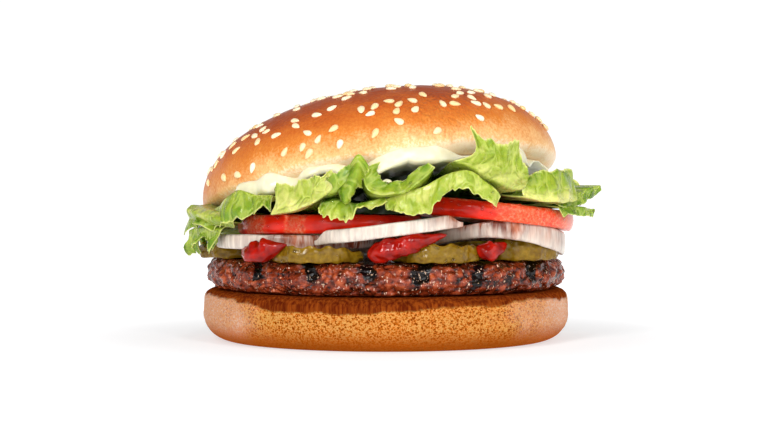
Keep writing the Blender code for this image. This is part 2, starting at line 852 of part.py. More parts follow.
def make_heap(surface):
    """The wedge of lettuce between the tomatoes and the mayonnaise."""
    frame = crown_frame()
    top = frame @ Vector((0, 0, -CROWN_UNDER - MAYO_THICKNESS - 5 * GAP))

    def shape(angle, radius, height):
        bump = 1.0 + 0.03 * math.sin(9 * angle) if radius else 1.0
        x = HEAP_CENTRE[0] + radius * bump * math.cos(angle)
        y = HEAP_CENTRE[1] + radius * bump * math.sin(angle)
        ceiling = cut_height(x, y) + top.z - cut_height(top.x, top.y)
        floor = HEAP_LOW_BACK + (HEAP_LOW_FRONT - HEAP_LOW_BACK) * smoothstep(10.0, -22.0, y)
        return (x, y, floor + height * max(0.6, ceiling - floor))

    inner = 0.5 * HEAP_RADIUS
    rows = [(0, 0), (inner, 0), (HEAP_RADIUS, 0), (HEAP_RADIUS, 1.0), (inner, 1.0), (0, 1.0)]
    return turned("lettuce", rows, 24, shape, surface)


def make_lettuce(surface):
    """The heap with its leaves fused on, cut back clear of all that it touches."""
    heap = make_heap(surface)
    everywhere = list(LEAVES.values()) + [side_leaf(*spec) for spec in SIDE_LEAVES]
    leaves = [make_leaf(f"leaf_{k}", leaf, 3.0 * k, surface) for k, leaf in enumerate(everywhere)]
    combine(heap, leaves, "UNION", "MANIFOLD")
    rooms = [crown_shell("room_crown", surface, GAP), make_mayo("room_mayo", surface, 2 * GAP)]
    rooms += [make_tomato("room_" + name, spec, surface, GAP) for name, spec in TOMATOES.items()]
    for room in rooms:
        combine(heap, [room], "DIFFERENCE", "MANIFOLD")
    return heap


def main():
    for old in list(bpy.data.objects):
        bpy.data.objects.remove(old)
    crust = material("bun_crust", (0.62, 0.30, 0.09), 0.5)
    crumb = material("bun_heel", (0.72, 0.36, 0.12), 0.8)
    beef = material("grilled_beef", (0.20, 0.06, 0.035), 0.45)
    cream = material("mayonnaise", (0.86, 0.84, 0.66), 0.35)
    red = material("tomato", (0.60, 0.06, 0.03), 0.3)
    white = material("onion", (0.80, 0.74, 0.68), 0.35)
    olive = material("pickle", (0.26, 0.19, 0.03), 0.4)
    sauce = material("ketchup", (0.42, 0.03, 0.015), 0.2)
    green = material("lettuce", (0.32, 0.48, 0.06), 0.45)

    make_heel(crumb)
    make_patty(beef)
    for name, spec in PICKLES.items():
        make_pickle(name, spec, olive)
    for name, blob in KETCHUP.items():
        make_ketchup(name, blob, sauce)
    for name, ring in ONIONS.items():
        make_onion(name, ring, white)
    for name, spec in TOMATOES.items():
        make_tomato(name, spec, red)
    make_lettuce(green)
    make_mayo("mayonnaise", cream)
    make_crown(crust)


main()
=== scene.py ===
"""Dresses a flame-grilled hamburger in a sesame bun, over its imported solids.

Sizes in the classes are millimetres in the burger's own frame: the origin is the centre of the heel's
underside, the side that shows the fillings faces -Y, and +Z is up. MM turns them into metres.
"""

import logging
import math
import random
from dataclasses import dataclass, field
from enum import Enum
from math import cos, hypot, radians, sin, tau
from typing import Callable, Optional, Sequence

import bpy
import numpy as np
from mathutils import Matrix, Vector, noise


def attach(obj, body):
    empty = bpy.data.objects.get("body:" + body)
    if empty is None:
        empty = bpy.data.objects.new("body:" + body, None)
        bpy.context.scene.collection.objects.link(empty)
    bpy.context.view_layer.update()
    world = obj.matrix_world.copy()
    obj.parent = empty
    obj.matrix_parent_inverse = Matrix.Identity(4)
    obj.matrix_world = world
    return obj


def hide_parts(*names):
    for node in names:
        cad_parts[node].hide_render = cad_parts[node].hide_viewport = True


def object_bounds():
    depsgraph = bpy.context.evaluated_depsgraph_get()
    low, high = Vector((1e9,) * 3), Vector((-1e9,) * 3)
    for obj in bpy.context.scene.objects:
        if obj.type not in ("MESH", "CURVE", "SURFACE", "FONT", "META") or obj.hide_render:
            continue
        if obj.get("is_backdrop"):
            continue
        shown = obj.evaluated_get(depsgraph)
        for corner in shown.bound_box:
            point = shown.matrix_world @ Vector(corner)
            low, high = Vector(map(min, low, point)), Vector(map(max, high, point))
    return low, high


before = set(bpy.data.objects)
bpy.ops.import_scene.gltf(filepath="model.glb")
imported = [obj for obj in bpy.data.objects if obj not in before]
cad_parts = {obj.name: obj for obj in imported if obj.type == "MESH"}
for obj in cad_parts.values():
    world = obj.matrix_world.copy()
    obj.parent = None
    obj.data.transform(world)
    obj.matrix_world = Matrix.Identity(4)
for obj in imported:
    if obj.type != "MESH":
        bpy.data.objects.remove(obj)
CAD_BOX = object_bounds()

LOG = logging.getLogger("burger")
MM = 0.001
ROOT = "root"

Object = bpy.types.Object
Material = bpy.types.Material
Socket = bpy.types.NodeSocket
Pair = tuple[float, float]
Triple = tuple[float, float, float]
Colour = tuple[float, float, float, float]
Shape = Callable[[float, float, float], Triple]
Paint = Callable[[Vector], float]

WHITE: Colour = (1.0, 1.0, 1.0, 1.0)


def tint(*parts: int) -> Colour:
    """Turns a colour as a screen shows it into linear light.

    Args:
        parts: Red, green and blue, from 0 to 255.

    Returns:
        The linear colour with full alpha.
    """
    linear = []
    for part in parts:
        share = part / 255.0
        linear.append(share / 12.92 if share <= 0.04045 else ((share + 0.055) / 1.055) ** 2.4)
    return (linear[0], linear[1], linear[2], 1.0)


def smoothstep(low: float, high: float, x: float) -> float:
    """Rises smoothly from 0 at low to 1 at high.

    Args:
        low: Where the rise starts.
        high: Where it ends, which may be less than low.
        x: The place asked for.

    Returns:
        A value from 0 to 1.
    """
    t = min(1.0, max(0.0, (x - low) / (high - low)))
    return t * t * (3.0 - 2.0 * t)


def ripple(x: float, y: float, z: float = 0.0, scale: float = 10.0) -> float:
    """Smooth noise between about -1 and 1.

    Args:
        x: Place along X in millimetres.
        y: Place along Y.
        z: Place along Z.
        scale: About how large its features are, in millimetres.

    Returns:
        The noise at that place.
    """
    return 1.6 * noise.noise(Vector((x, y, z)) / scale)


def catmull(points: Sequence, share: float) -> Vector:
    """Follows a smooth curve through all the points.

    Args:
        points: The points that the curve passes through.
        share: How far along it, from 0 to 1.

    Returns:
        The point there.
    """
    spans = len(points) - 1
    place = min(share * spans, spans - 1e-9)
    i = int(place)
    t = place - i
    a, b, c, d = (Vector(points[min(max(i + k, 0), spans)]) for k in (-1, 0, 1, 2))
    curve = 2 * b + (c - a) * t + (2 * a - 5 * b + 4 * c - d) * t * t + (3 * b - a - 3 * c + d) * t**3
    return 0.5 * curve


def arc(first: float, last: float, steps: int) -> list[float]:
    """Evenly spaced angles.

    Args:
        first: The first, in degrees.
        last: The last, in degrees.
        steps: How many steps lie between them.

    Returns:
        The angles in radians, with both ends.
    """
    return [radians(first + (last - first) * k / steps) for k in range(steps + 1)]


def strayed(p: Vector, reach: float, layer: float, scale: float) -> Vector:
    """Moves a point a little, so that cells laid round such points turn out uneven.

    Args:
        p: The point in millimetres.
        reach: About how far it moves.
        layer: Which part of the noise moves it.
        scale: About how large the features of the noise are.

    Returns:
        The moved point.
    """
    pairs = ((p.y, p.z), (p.z, p.x), (p.x, p.y))
    return p + reach * Vector([ripple(*pair, layer + k, scale) for k, pair in enumerate(pairs)])


def strongest(degrees: float, lobes: Sequence[Sequence[float]], inner: float, outer: float) -> float:
    """How strong the lobes along a round rim are in one direction.

    Args:
        degrees: The direction.
        lobes: The direction, the half width in degrees and the strength of each, which is 1 if left out.
        inner: The share of the half width that is at full strength.
        outer: The share of the half width at which a lobe ends.

    Returns:
        The strength of the strongest.
    """
    most = 0.0
    for towards, half_width, *strength in lobes:
        away = abs((degrees - towards + 180.0) % 360.0 - 180.0)
        full = strength[0] if strength else 1.0
        most = max(most, full * (1.0 - smoothstep(inner * half_width, outer * half_width, away)))
    return most


@dataclass
class Shell:
    """One closed skin: its points in millimetres, its faces, what is painted on it, and its UV map."""

    points: list[Vector]
    faces: list[tuple[int, ...]]
    paint: dict[str, list[float]] = field(default_factory=dict)
    uv: Optional[list[Pair]] = None

    def volume(self) -> float:
        """The signed volume, which is positive where the faces point outwards.

        Returns:
            The volume in cubic millimetres.
        """
        places = np.array([tuple(p) for p in self.points])
        total = 0.0
        for size in {len(face) for face in self.faces}:
            corners = np.array([face for face in self.faces if len(face) == size])
            for k in range(1, size - 1):
                turn = np.cross(places[corners[:, k]], places[corners[:, k + 1]])
                total += float((places[corners[:, 0]] * turn).sum())
        return total / 6.0

    def outward(self) -> "Shell":
        """Turns the faces outwards.

        Returns:
            The shell itself.
        """
        if self.volume() < 0.0:
            self.faces = [tuple(reversed(face)) for face in self.faces]
        return self

    def brush(self, name: str, rule: Paint) -> "Shell":
        """Paints a value on every point.

        Args:
            name: The attribute's name, which a finish reads.
            rule: Gives the value at a point.

        Returns:
            The shell itself.
        """
        self.paint[name] = [rule(p) for p in self.points]
        return self


def turned(
    rows: Sequence[Pair], segments: int, shape: Shape, place: Optional[Matrix] = None
) -> Shell:
    """Makes a closed turned skin.

    Args:
        rows: Radius and height of each row, from the lower pole to the upper one.
        segments: How many points go round.
        shape: Gives the point for an angle, a radius and a height.
        place: Puts the piece's own frame into the burger's.

    Returns:
        The skin.
    """
    points = [shape(0.0, *rows[0])]
    for radius, height in rows[1:-1]:
        points += [shape(tau * k / segments, radius, height) for k in range(segments)]
    points.append(shape(0.0, *rows[-1]))
    faces: list[tuple[int, ...]] = []
    spans = len(rows) - 3
    for k in range(segments):
        after = (k + 1) % segments
        faces.append((0, 1 + after, 1 + k))
        for row in range(spans):
            low = 1 + row * segments
            high = low + segments
            faces.append((low + k, low + after, high + after, high + k))
        top = 1 + spans * segments
        faces.append((top + k, top + after, len(points) - 1))
    vectors = [Vector(p) if place is None else place @ Vector(p) for p in points]
    return Shell(vectors, faces).outward()


def swept(sections: Sequence[Sequence[Vector]], closed: bool) -> Shell:
    """Joins loops of equally many points into a ring or a capped bar.

    Args:
        sections: The loops, one after the other.
        closed: Whether the last one joins the first.

    Returns:
        The skin.
    """
    size = len(sections[0])
    points = [p for section in sections for p in section]
    faces: list[tuple[int, ...]] = []
    for i in range(len(sections) if closed else len(sections) - 1):
        a = i * size
        b = ((i + 1) % len(sections)) * size
        for k in range(size):
            after = (k + 1) % size
            faces.append((a + k, a + after, b + after, b + k))
    if not closed:
        for start, turn in ((0, -1), (len(points) - size, 1)):
            points.append(sum((points[start + k] for k in range(size)), Vector()) / size)
            for k in range(size):
                pair = (start + k, start + (k + 1) % size)
                faces.append((*pair[::turn], len(points) - 1))
    return Shell(points, faces).outward()


def sheet(grid: Sequence[Sequence[Vector]], thickness: float, thin_edge: float = 0.35) -> Shell:
    """Makes a thin closed sheet on a grid of points, thinner along its rim.

    Args:
        grid: Rows of points; the UV map runs along the rows and across them.
        thickness: The thickness away from the rim, in millimetres.
        thin_edge: The share of the thickness that is left at the rim.

    Returns:
        The skin.
    """
    place = np.array([[tuple(p) for p in row] for row in grid])
    rows, columns = place.shape[:2]
    along = np.gradient(place, axis=1)
    across = np.gradient(place, axis=0)
    normal = np.cross(along, across)
    normal /= np.maximum(np.linalg.norm(normal, axis=2, keepdims=True), 1e-9)
    near = np.minimum.outer(np.minimum(np.arange(rows), np.arange(rows)[::-1]), np.full(columns, rows))
    near = np.minimum(near, np.minimum(np.arange(columns), np.arange(columns)[::-1])[None, :])
    half = 0.5 * thickness * (thin_edge + (1.0 - thin_edge) * np.clip(near / 3.0, 0.0, 1.0))
    upper = (place + normal * half[..., None]).reshape(-1, 3)
    lower = (place - normal * half[..., None]).reshape(-1, 3)
    points = [Vector(p) for p in np.vstack((upper, lower))]
    count = rows * columns
    faces: list[tuple[int, ...]] = []
    for i in range(rows - 1):
        for j in range(columns - 1):
            a = i * columns + j
            corners = (a, a + 1, a + columns + 1, a + columns)
            faces.append(corners)
            faces.append(tuple(count + c for c in reversed(corners)))
    rim = list(range(columns))
    rim += [i * columns + columns - 1 for i in range(1, rows)]
    rim += [(rows - 1) * columns + j for j in reversed(range(columns - 1))]
    rim += [i * columns for i in reversed(range(1, rows - 1))]
    for a, b in zip(rim, rim[1:] + rim[:1]):
        faces.append((a, a + count, b + count, b))
    uv = [(j / (columns - 1), i / (rows - 1)) for i in range(rows) for j in range(columns)]
    return Shell(points, faces, uv=uv + uv).outward()


def add_object(name: str, data: bpy.types.ID) -> Object:
    """Adds an object to the scene, at the origin.

    Args:
        name: Its name.
        data: Its mesh, light or camera.

    Returns:
        The object.
    """
    made = bpy.data.objects.new(name, data)
    bpy.context.scene.collection.objects.link(made)
    return made


def add_points(name: str, places: Sequence[Vector], directions: dict[str, Sequence[Vector]]) -> Object:
    """Adds loose points, for a tree of Geometry Nodes to set something on.

    Args:
        name: The object's name.
        places: The points in metres.
        directions: Vectors at the points, by the name of their attribute.

    Returns:
        The object.
    """
    mesh = bpy.data.meshes.new(name)
    mesh.from_pydata([tuple(place) for place in places], [], [])
    for key, vectors in directions.items():
        values = [part for vector in vectors for part in vector]
        mesh.attributes.new(key, "FLOAT_VECTOR", "POINT").data.foreach_set("vector", values)
    return add_object(name, mesh)


def make_piece(name: str, shells: Sequence[Shell], finish: Material) -> Object:
    """Joins skins into one object at the origin, with what is painted on them as point attributes.

    Args:
        name: The object's name.
        shells: The skins.
        finish: The material that it wears.

    Returns:
        The object.
    """
    points: list[Triple] = []
    faces: list[tuple[int, ...]] = []
    paint: dict[str, list[float]] = {key: [] for shell in shells for key in shell.paint}
    uv: list[Pair] = []
    for shell in shells:
        start = len(points)
        points += [tuple(p * MM) for p in shell.points]
        faces += [tuple(start + corner for corner in face) for face in shell.faces]
        for key, values in paint.items():
            values += shell.paint.get(key, [0.0] * len(shell.points))
        uv += shell.uv or [(0.0, 0.0)] * len(shell.points)
    mesh = bpy.data.meshes.new(name)
    mesh.from_pydata(points, [], faces)
    mesh.shade_smooth()
    mesh.set_sharp_from_angle(angle=radians(60))
    for key, values in paint.items():
        mesh.attributes.new(key, "FLOAT", "POINT").data.foreach_set("value", values)
    if any(shell.uv for shell in shells):
        corners = np.zeros(len(mesh.loops), np.int32)
        mesh.loops.foreach_get("vertex_index", corners)
        mesh.uv_layers.new(name="blade").data.foreach_set("uv", np.array(uv)[corners].ravel())
    mesh.materials.append(finish)
    return add_object(name, mesh)


def settle(piece: Object, nodes: Sequence[str] = ()) -> Object:
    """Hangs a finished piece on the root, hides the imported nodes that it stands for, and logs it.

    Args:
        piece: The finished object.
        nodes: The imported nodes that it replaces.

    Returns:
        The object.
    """
    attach(piece, ROOT)
    if nodes:
        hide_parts(*nodes)
    stands_for = ", ".join(nodes) or "nothing packed"
    LOG.info("%s: %d faces, stands for %s", piece.name, len(piece.data.polygons), stands_for)
    return piece


class Blend(Enum):
    """How one colour is laid over another."""

    MIX = "MIX"
    MULTIPLY = "MULTIPLY"


class Graph:
    """Adds nodes to a tree of any kind."""

    def __init__(self, tree: bpy.types.NodeTree) -> None:
        """Takes the tree that the nodes go into."""
        self.tree = tree

    def feed(self, socket: Socket, value: object) -> None:
        """Links a socket to another one, or sets its own value.

        Args:
            socket: The input.
            value: An output socket, a number, a vector or a colour.
        """
        if isinstance(value, Socket):
            self.tree.links.new(value, socket)
        else:
            socket.default_value = value

    def add(self, kind: str, inputs: dict, **settings: object) -> bpy.types.Node:
        """Adds a node.

        Args:
            kind: The node's type.
            inputs: Values or sockets for its inputs, by name or number.
            settings: Values for its properties.

        Returns:
            The node.
        """
        made = self.tree.nodes.new(kind)
        for key, value in settings.items():
            setattr(made, key, value)
        for key, value in inputs.items():
            self.feed(made.inputs[key], value)
        return made

    def span(
        self, value: object, low: float, high: float, start: float = 0.0, end: float = 1.0
    ) -> Socket:
        """Maps a stretch of values smoothly onto another.

        Args:
            value: The value.
            low: Where the stretch starts.
            high: Where it ends.
            start: What low becomes.
            end: What high becomes.

        Returns:
            The new value.
        """
        inputs = {"Value": value, "From Min": low, "From Max": high, "To Min": start, "To Max": end}
        return self.add("ShaderNodeMapRange", inputs, interpolation_type="SMOOTHSTEP").outputs["Result"]

    def times(self, a: object, b: object) -> Socket:
        """Multiplies two values."""
        return self.add("ShaderNodeMath", {0: a, 1: b}, operation="MULTIPLY").outputs[0]


class Brush(Graph):
    """Builds the shader nodes of one material."""

    def __init__(self, name: str) -> None:
        """Starts a material with a Principled shader and the object's own coordinates.

        Args:
            name: The material's name.
        """
        self.made = bpy.data.materials.new(name)
        self.made.use_nodes = True
        super().__init__(self.made.node_tree)
        self.shader = self.tree.nodes["Principled BSDF"]
        self.place = self.add("ShaderNodeTexCoord", {}).outputs["Object"]

    def surface(self, **inputs: object) -> Material:
        """Sets the shader's inputs, with an underscore for each space in their names.

        Args:
            inputs: Values or sockets.

        Returns:
            The material.
        """
        for key, value in inputs.items():
            self.feed(self.shader.inputs[key.replace("_", " ")], value)
        return self.made

    def painted(self, name: str) -> Socket:
        """Reads a value painted on the mesh."""
        return self.add("ShaderNodeAttribute", {}, attribute_name=name).outputs["Fac"]

    def stretched(self, stretch: Sequence[float], turn: Sequence[float] = (0, 0, 0)) -> Socket:
        """Stretches the object's coordinates for a pattern with a grain.

        Args:
            stretch: Scale of the pattern's frequency along X, Y and Z.
            turn: Turn about X, Y and Z in degrees.

        Returns:
            The changed coordinates.
        """
        turned_by = [radians(angle) for angle in turn]
        inputs = {"Vector": self.place, "Scale": tuple(stretch), "Rotation": turned_by}
        return self.add("ShaderNodeMapping", inputs).outputs["Vector"]

    def grain(
        self, size: float, detail: float = 3.0, rough: float = 0.55, vector: object = None
    ) -> Socket:
        """Noise from 0 to 1.

        Args:
            size: Size of its features in millimetres.
            detail: How many finer layers it has.
            rough: How strong those are.
            vector: Other coordinates than the object's own.

        Returns:
            The noise's value.
        """
        inputs = {"Vector": vector or self.place, "Scale": 1.0 / (size * MM)}
        inputs |= {"Detail": detail, "Roughness": rough}
        return self.add("ShaderNodeTexNoise", inputs).outputs["Fac"]

    def cells(self, size: float, vector: object = None, smooth: float = 0.3) -> Socket:
        """Smooth distance to the nearest of many scattered points.

        Args:
            size: The distance between the points in millimetres.
            vector: Other coordinates than the object's own.
            smooth: How much the cells run together.

        Returns:
            The distance, about 0 to 1.
        """
        inputs = {"Vector": vector or self.place, "Scale": 1.0 / (size * MM), "Smoothness": smooth}
        return self.add("ShaderNodeTexVoronoi", inputs, feature="SMOOTH_F1").outputs["Distance"]

    def ramp(self, value: object, stops: Sequence[tuple[float, Colour]]) -> Socket:
        """Turns a value into colours.

        Args:
            value: The value, from 0 to 1.
            stops: Places on the ramp and their colours.

        Returns:
            The colour.
        """
        made = self.add("ShaderNodeValToRGB", {"Fac": value})
        made.color_ramp.interpolation = "EASE" if len(stops) == 2 else "LINEAR"
        dots = made.color_ramp.elements
        dots[0].position, dots[0].color = stops[0]
        dots[1].position, dots[1].color = stops[-1]
        for at, colour in stops[1:-1]:
            dots.new(at).color = colour
        return made.outputs["Color"]

    def sum(self, a: object, b: object, share: float = 1.0) -> Socket:
        """Adds share times b to a."""
        inputs = {0: b, 1: share, 2: a}
        return self.add("ShaderNodeMath", inputs, operation="MULTIPLY_ADD").outputs[0]

    def lay(self, share: object, under: object, over: object, blend: Blend = Blend.MIX) -> Socket:
        """Lays one colour over another.

        Args:
            share: How much of it shows.
            under: The colour below.
            over: The colour above.
            blend: How they are combined.

        Returns:
            The colour.
        """
        made = self.tree.nodes.new("ShaderNodeMix")
        made.data_type = "RGBA"
        made.blend_type = blend.value
        self.feed(made.inputs[0], share)
        self.feed(made.inputs[6], under)
        self.feed(made.inputs[7], over)
        return made.outputs[2]

    def relief(
        self, height: object, depth: float, strength: float = 1.0, under: object = None
    ) -> Socket:
        """Turns a height into a bump.

        Args:
            height: The height, about 0 to 1.
            depth: How deep the relief is, in millimetres.
            strength: How much of it shows.
            under: A bump that it lies on.

        Returns:
            The normal.
        """
        inputs = {"Height": height, "Distance": depth * MM, "Strength": strength}
        if under is not None:
            inputs["Normal"] = under
        return self.add("ShaderNodeBump", inputs).outputs["Normal"]


def glowing(weight: float, radius: Triple, depth: float) -> dict[str, object]:
    """Inputs of the shader for light that passes into something soft.

    Args:
        weight: How much of the light does.
        radius: How far red, green and blue go, against each other.
        depth: How far they go in all, in millimetres.

    Returns:
        The inputs.
    """
    return {"Subsurface_Weight": weight, "Subsurface_Radius": radius, "Subsurface_Scale": depth * MM}


@dataclass(frozen=True)
class CrustFinish:
    """Egg-washed crust: dark gold on top, paling to cream at the rim, finely mottled."""

    rim: Colour = tint(248, 222, 186)
    low: Colour = tint(234, 184, 122)
    middle: Colour = tint(212, 126, 50)
    high: Colour = tint(196, 96, 32)
    top: Colour = tint(166, 70, 22)
    speck: Colour = tint(128, 52, 18)
    gloss: float = 0.36

    def material(self) -> Material:
        """Builds the material, which reads the values browning and crease from the mesh.

        Returns:
            The material.
        """
        b = Brush("crust")
        broad = b.span(b.grain(9.0, 4.0, 0.6), 0.25, 0.75, -0.09, 0.09)
        fine = b.span(b.grain(0.8, 3.0, 0.65), 0.3, 0.7, -0.09, 0.09)
        brown = b.sum(b.sum(b.painted("browning"), broad), fine)
        stops = [(0.0, self.rim), (0.2, self.low), (0.48, self.middle), (0.78, self.high)]
        colour = b.ramp(brown, stops + [(1.0, self.top)])
        specks = b.times(b.span(b.grain(0.55, 2.0, 0.5), 0.62, 0.74), b.span(brown, 0.15, 0.9))
        colour = b.lay(b.times(specks, 0.35), colour, self.speck)
        creases = b.grain(1.6, 2.0, 0.5, b.stretched((1.0, 1.0, 0.22)))
        # Painted shade: the creases are laid over with the darker high brown.
        folds = b.times(b.span(creases, 0.52, 0.64), b.times(b.painted("crease"), 0.3))
        colour = b.lay(folds, colour, self.high)
        bump = b.relief(b.grain(1.5, 3.0, 0.55), 0.22, 0.7)
        bump = b.relief(b.times(creases, b.painted("crease")), 1.2, 0.9, bump)
        return b.surface(
            Base_Color=colour,
            Roughness=b.span(b.grain(3.0), 0.2, 0.8, self.gloss - 0.06, self.gloss + 0.12),
            Normal=bump,
            Specular_IOR_Level=0.14,
            **glowing(0.1, (2.0, 1.0, 0.4), 1.0),
        )


@dataclass(frozen=True)
class HeelFinish:
    """The bun's lower crust: pitted like orange peel, soaked dark where juices run down, painted with
    light and shade.
    """

    # Painted shade in the pits and painted highlight on the ridges, standing for the relief's light and
    # shade.
    pit: Colour = tint(170, 70, 12)
    crust: Colour = tint(246, 128, 30)
    ridge: Colour = tint(255, 192, 104)
    soaked: Colour = tint(116, 40, 12)
    streak: Colour = tint(184, 86, 26)
    # The pale pink of the painted sheen on the sides.
    smooth: Colour = tint(252, 186, 148)
    # White-pink of the painted glints on the pale sides.
    fleck: Colour = tint(255, 236, 216)
    # Darker, more saturated towards the bottom: browner baking, and painted shade under the bun's
    # overhang.
    foot: Colour = tint(206, 98, 16)
    pit_size: float = 0.95

    def material(self) -> Material:
        """Builds the material, which reads the values rough, soak, pale and foot from the mesh.

        Returns:
            The material.
        """
        b = Brush("heel_crust")
        swayed = b.stretched((1.0, 1.0, 1.15))
        fine = b.grain(0.42, 3.0, 0.7)
        # Painted shade and highlight: the colour runs from the dark pits to the pale ridges.
        pits = b.span(b.cells(self.pit_size, swayed, 0.2), 0.02, 0.7)
        ridges = b.sum(pits, b.span(fine, 0.3, 0.7, -0.75, 0.6))
        even = b.sum(b.times(ridges, b.painted("rough")), b.sum(0.55, b.painted("rough"), -0.55))
        stops = [(0.0, self.pit), (0.5, self.crust), (1.0, self.ridge)]
        colour = b.ramp(b.sum(even, b.span(b.grain(8.0), 0.3, 0.7, -0.05, 0.05)), stops)
        # Painted sheen: the sides are laid over with pale pink, standing for the white room's reflection
        # at grazing angles.
        colour = b.lay(b.painted("pale"), colour, self.smooth)
        # Painted glints: fine pale flecks on the sides, standing for tiny highlights on smooth crust.
        flecks = b.span(b.grain(0.55, 2.0, 0.6), 0.5, 0.6)
        colour = b.lay(b.times(b.times(b.painted("pale"), flecks), 0.75), colour, self.fleck)
        # Browner baking and painted shade towards the bottom.
        colour = b.lay(b.painted("foot"), colour, self.foot)
        wet = b.painted("soak")
        streaks = b.grain(0.9, 3.0, 0.6, b.stretched((1.0, 1.0, 0.1)))
        colour = b.lay(wet, colour, b.ramp(streaks, [(0.35, self.soaked), (0.7, self.streak)]))
        return b.surface(
            Base_Color=colour,
            Roughness=b.span(wet, 0.0, 1.0, 0.42, 0.24),
            Normal=b.relief(b.sum(even, b.times(b.painted("pale"), fine), 0.5), 0.42, 1.0),
            Specular_IOR_Level=0.0,
            **glowing(0.06, (2.0, 1.0, 0.4), 0.6),
        )


@dataclass(frozen=True)
class BeefFinish:
    """Grilled minced beef: moist brown crumbs, nearly black where a bar of the grill charred it."""

    # Darkest tone, mostly the painted shade in the crevices.
    deep: Colour = tint(22, 3, 2)
    meat: Colour = tint(130, 48, 22)
    bright: Colour = tint(184, 90, 52)
    # Pinkish white of the painted glints, which also pass for specks of fat.
    fat: Colour = tint(230, 190, 160)
    char: Colour = tint(8, 4, 5)

    def material(self) -> Material:
        """Builds the material, which reads the values char and lump from the mesh.

        Returns:
            The material.
        """
        b = Brush("grilled_beef")
        height = b.sum(b.grain(2.4, 1.5, 0.4), b.grain(1.1, 1.0, 0.3), 0.2)
        # Painted shade: the lump value darkens the crevices between granules and lightens their tops.
        tone = b.sum(b.times(b.painted("lump"), 0.45), b.span(b.grain(2.2, 5.0, 0.75), 0.3, 0.7), 0.55)
        tone = b.sum(tone, b.span(b.grain(12.0), 0.3, 0.7, -0.15, 0.15))
        colour = b.ramp(tone, [(0.12, self.deep), (0.55, self.meat), (0.98, self.bright)])
        burnt = b.span(b.sum(b.painted("char"), b.grain(3.0, 5.0, 0.75), 1.6), 1.15, 1.5)
        colour = b.lay(burnt, colour, self.char)
        # Painted glints: tiny pinkish-white flecks, standing for the wet meat's highlights and passing
        # for fat.
        flecks = b.span(b.grain(1.0, 2.0, 0.6, b.stretched((1.3, 1.3, 0.7), (0, 20, 0))), 0.63, 0.69)
        colour = b.lay(b.times(flecks, 0.8), colour, self.fat)
        return b.surface(
            Base_Color=colour,
            Roughness=b.span(b.grain(3.0), 0.4, 0.65, 0.1, 0.2),
            Normal=b.relief(height, 0.7, 1.0),
            Specular_IOR_Level=0.3,
        )


@dataclass(frozen=True)
class PickleFinish:
    """Gherkin slices: olive flesh, a darker warty skin, and wet all over."""

    flesh: Colour = tint(148, 110, 20)
    seeds: Colour = tint(190, 158, 58)
    skin: Colour = tint(118, 92, 12)
    shade: Colour = tint(98, 68, 10)

    def material(self) -> Material:
        """Builds the material, which reads the value skin from the mesh.

        Returns:
            The material.
        """
        b = Brush("gherkin")
        mottle = b.grain(2.4, 4.0, 0.6)
        colour = b.ramp(mottle, [(0.3, self.shade), (0.5, self.flesh), (0.75, self.seeds)])
        rind = b.ramp(b.grain(1.4, 3.0, 0.6), [(0.3, self.shade), (0.55, self.skin), (0.8, self.flesh)])
        colour = b.lay(b.times(b.painted("skin"), 0.8), colour, rind)
        height = b.sum(b.grain(2.0, 1.5, 0.4), b.cells(1.9), 0.4)
        return b.surface(
            Base_Color=colour,
            Roughness=0.14,
            Normal=b.relief(height, 0.36, 0.9),
            Specular_IOR_Level=0.25,
            **glowing(0.3, (1.2, 1.1, 0.3), 1.5),
        )


@dataclass(frozen=True)
class OnionFinish:
    """Raw onion: white and finely fibrous; where thin, glassy with a painted see-through of its red
    neighbours.
    """

    white: Colour = tint(228, 218, 205)
    fibre: Colour = tint(200, 187, 176)
    glassy: Colour = tint(182, 108, 76)
    stained: Colour = tint(100, 42, 26)

    def material(self) -> Material:
        """Builds the material, which reads the value clear from the mesh.

        Returns:
            The material.
        """
        b = Brush("raw_onion")
        fibres = b.grain(1.1, 3.0, 0.6, b.stretched((1.0, 1.0, 0.08)))
        white = b.ramp(fibres, [(0.3, self.fibre), (0.65, self.white)])
        smears = b.grain(4.5, 3.0, 0.6, b.stretched((1.0, 1.0, 0.4)))
        # Painted see-through and reflection: the red and brown of the tomato and ketchup next to the
        # onion.
        glassy = b.ramp(smears, [(0.35, self.stained), (0.7, self.glassy)])
        strands = b.span(b.grain(1.6, 3.0, 0.65, b.stretched((1.0, 1.0, 0.15))), 0.35, 0.65, 1.15, 0.45)
        return b.surface(
            Base_Color=b.lay(b.times(b.painted("clear"), strands), white, glassy),
            Roughness=0.24,
            Normal=b.relief(fibres, 0.14, 0.6),
            Specular_IOR_Level=0.35,
            **glowing(0.45, (1.5, 1.3, 1.1), 1.6),
        )


@dataclass(frozen=True)
class TomatoFinish:
    """Tomato slices: glossy deep red skin, orange-red sparkling flesh."""

    skin: Colour = tint(244, 42, 18)
    deep: Colour = tint(206, 26, 10)
    flesh: Colour = tint(238, 92, 52)
    pale: Colour = tint(248, 158, 128)

    def material(self) -> Material:
        """Builds the material, which reads the values flesh and pale from the mesh.

        Returns:
            The material.
        """
        b = Brush("tomato_slice")
        skin = b.ramp(b.grain(7.0, 3.0, 0.5), [(0.3, self.deep), (0.6, self.skin)])
        grains = b.grain(0.9, 3.0, 0.65)
        flesh = b.ramp(grains, [(0.3, self.skin), (0.5, self.flesh), (0.8, self.pale)])
        shown = b.span(b.sum(b.painted("flesh"), b.grain(2.6, 3.0, 0.6), 0.9), 0.55, 1.15)
        colour = b.lay(shown, skin, flesh)
        # Pale flesh, and at the right end a painted highlight.
        colour = b.lay(b.painted("pale"), colour, self.pale)
        return b.surface(
            Base_Color=colour,
            Roughness=b.span(shown, 0.0, 1.0, 0.12, 0.24),
            Normal=b.relief(b.times(grains, shown), 0.22, 0.9),
            Specular_IOR_Level=0.3,
            **glowing(0.3, (2.0, 0.4, 0.2), 1.5),
        )


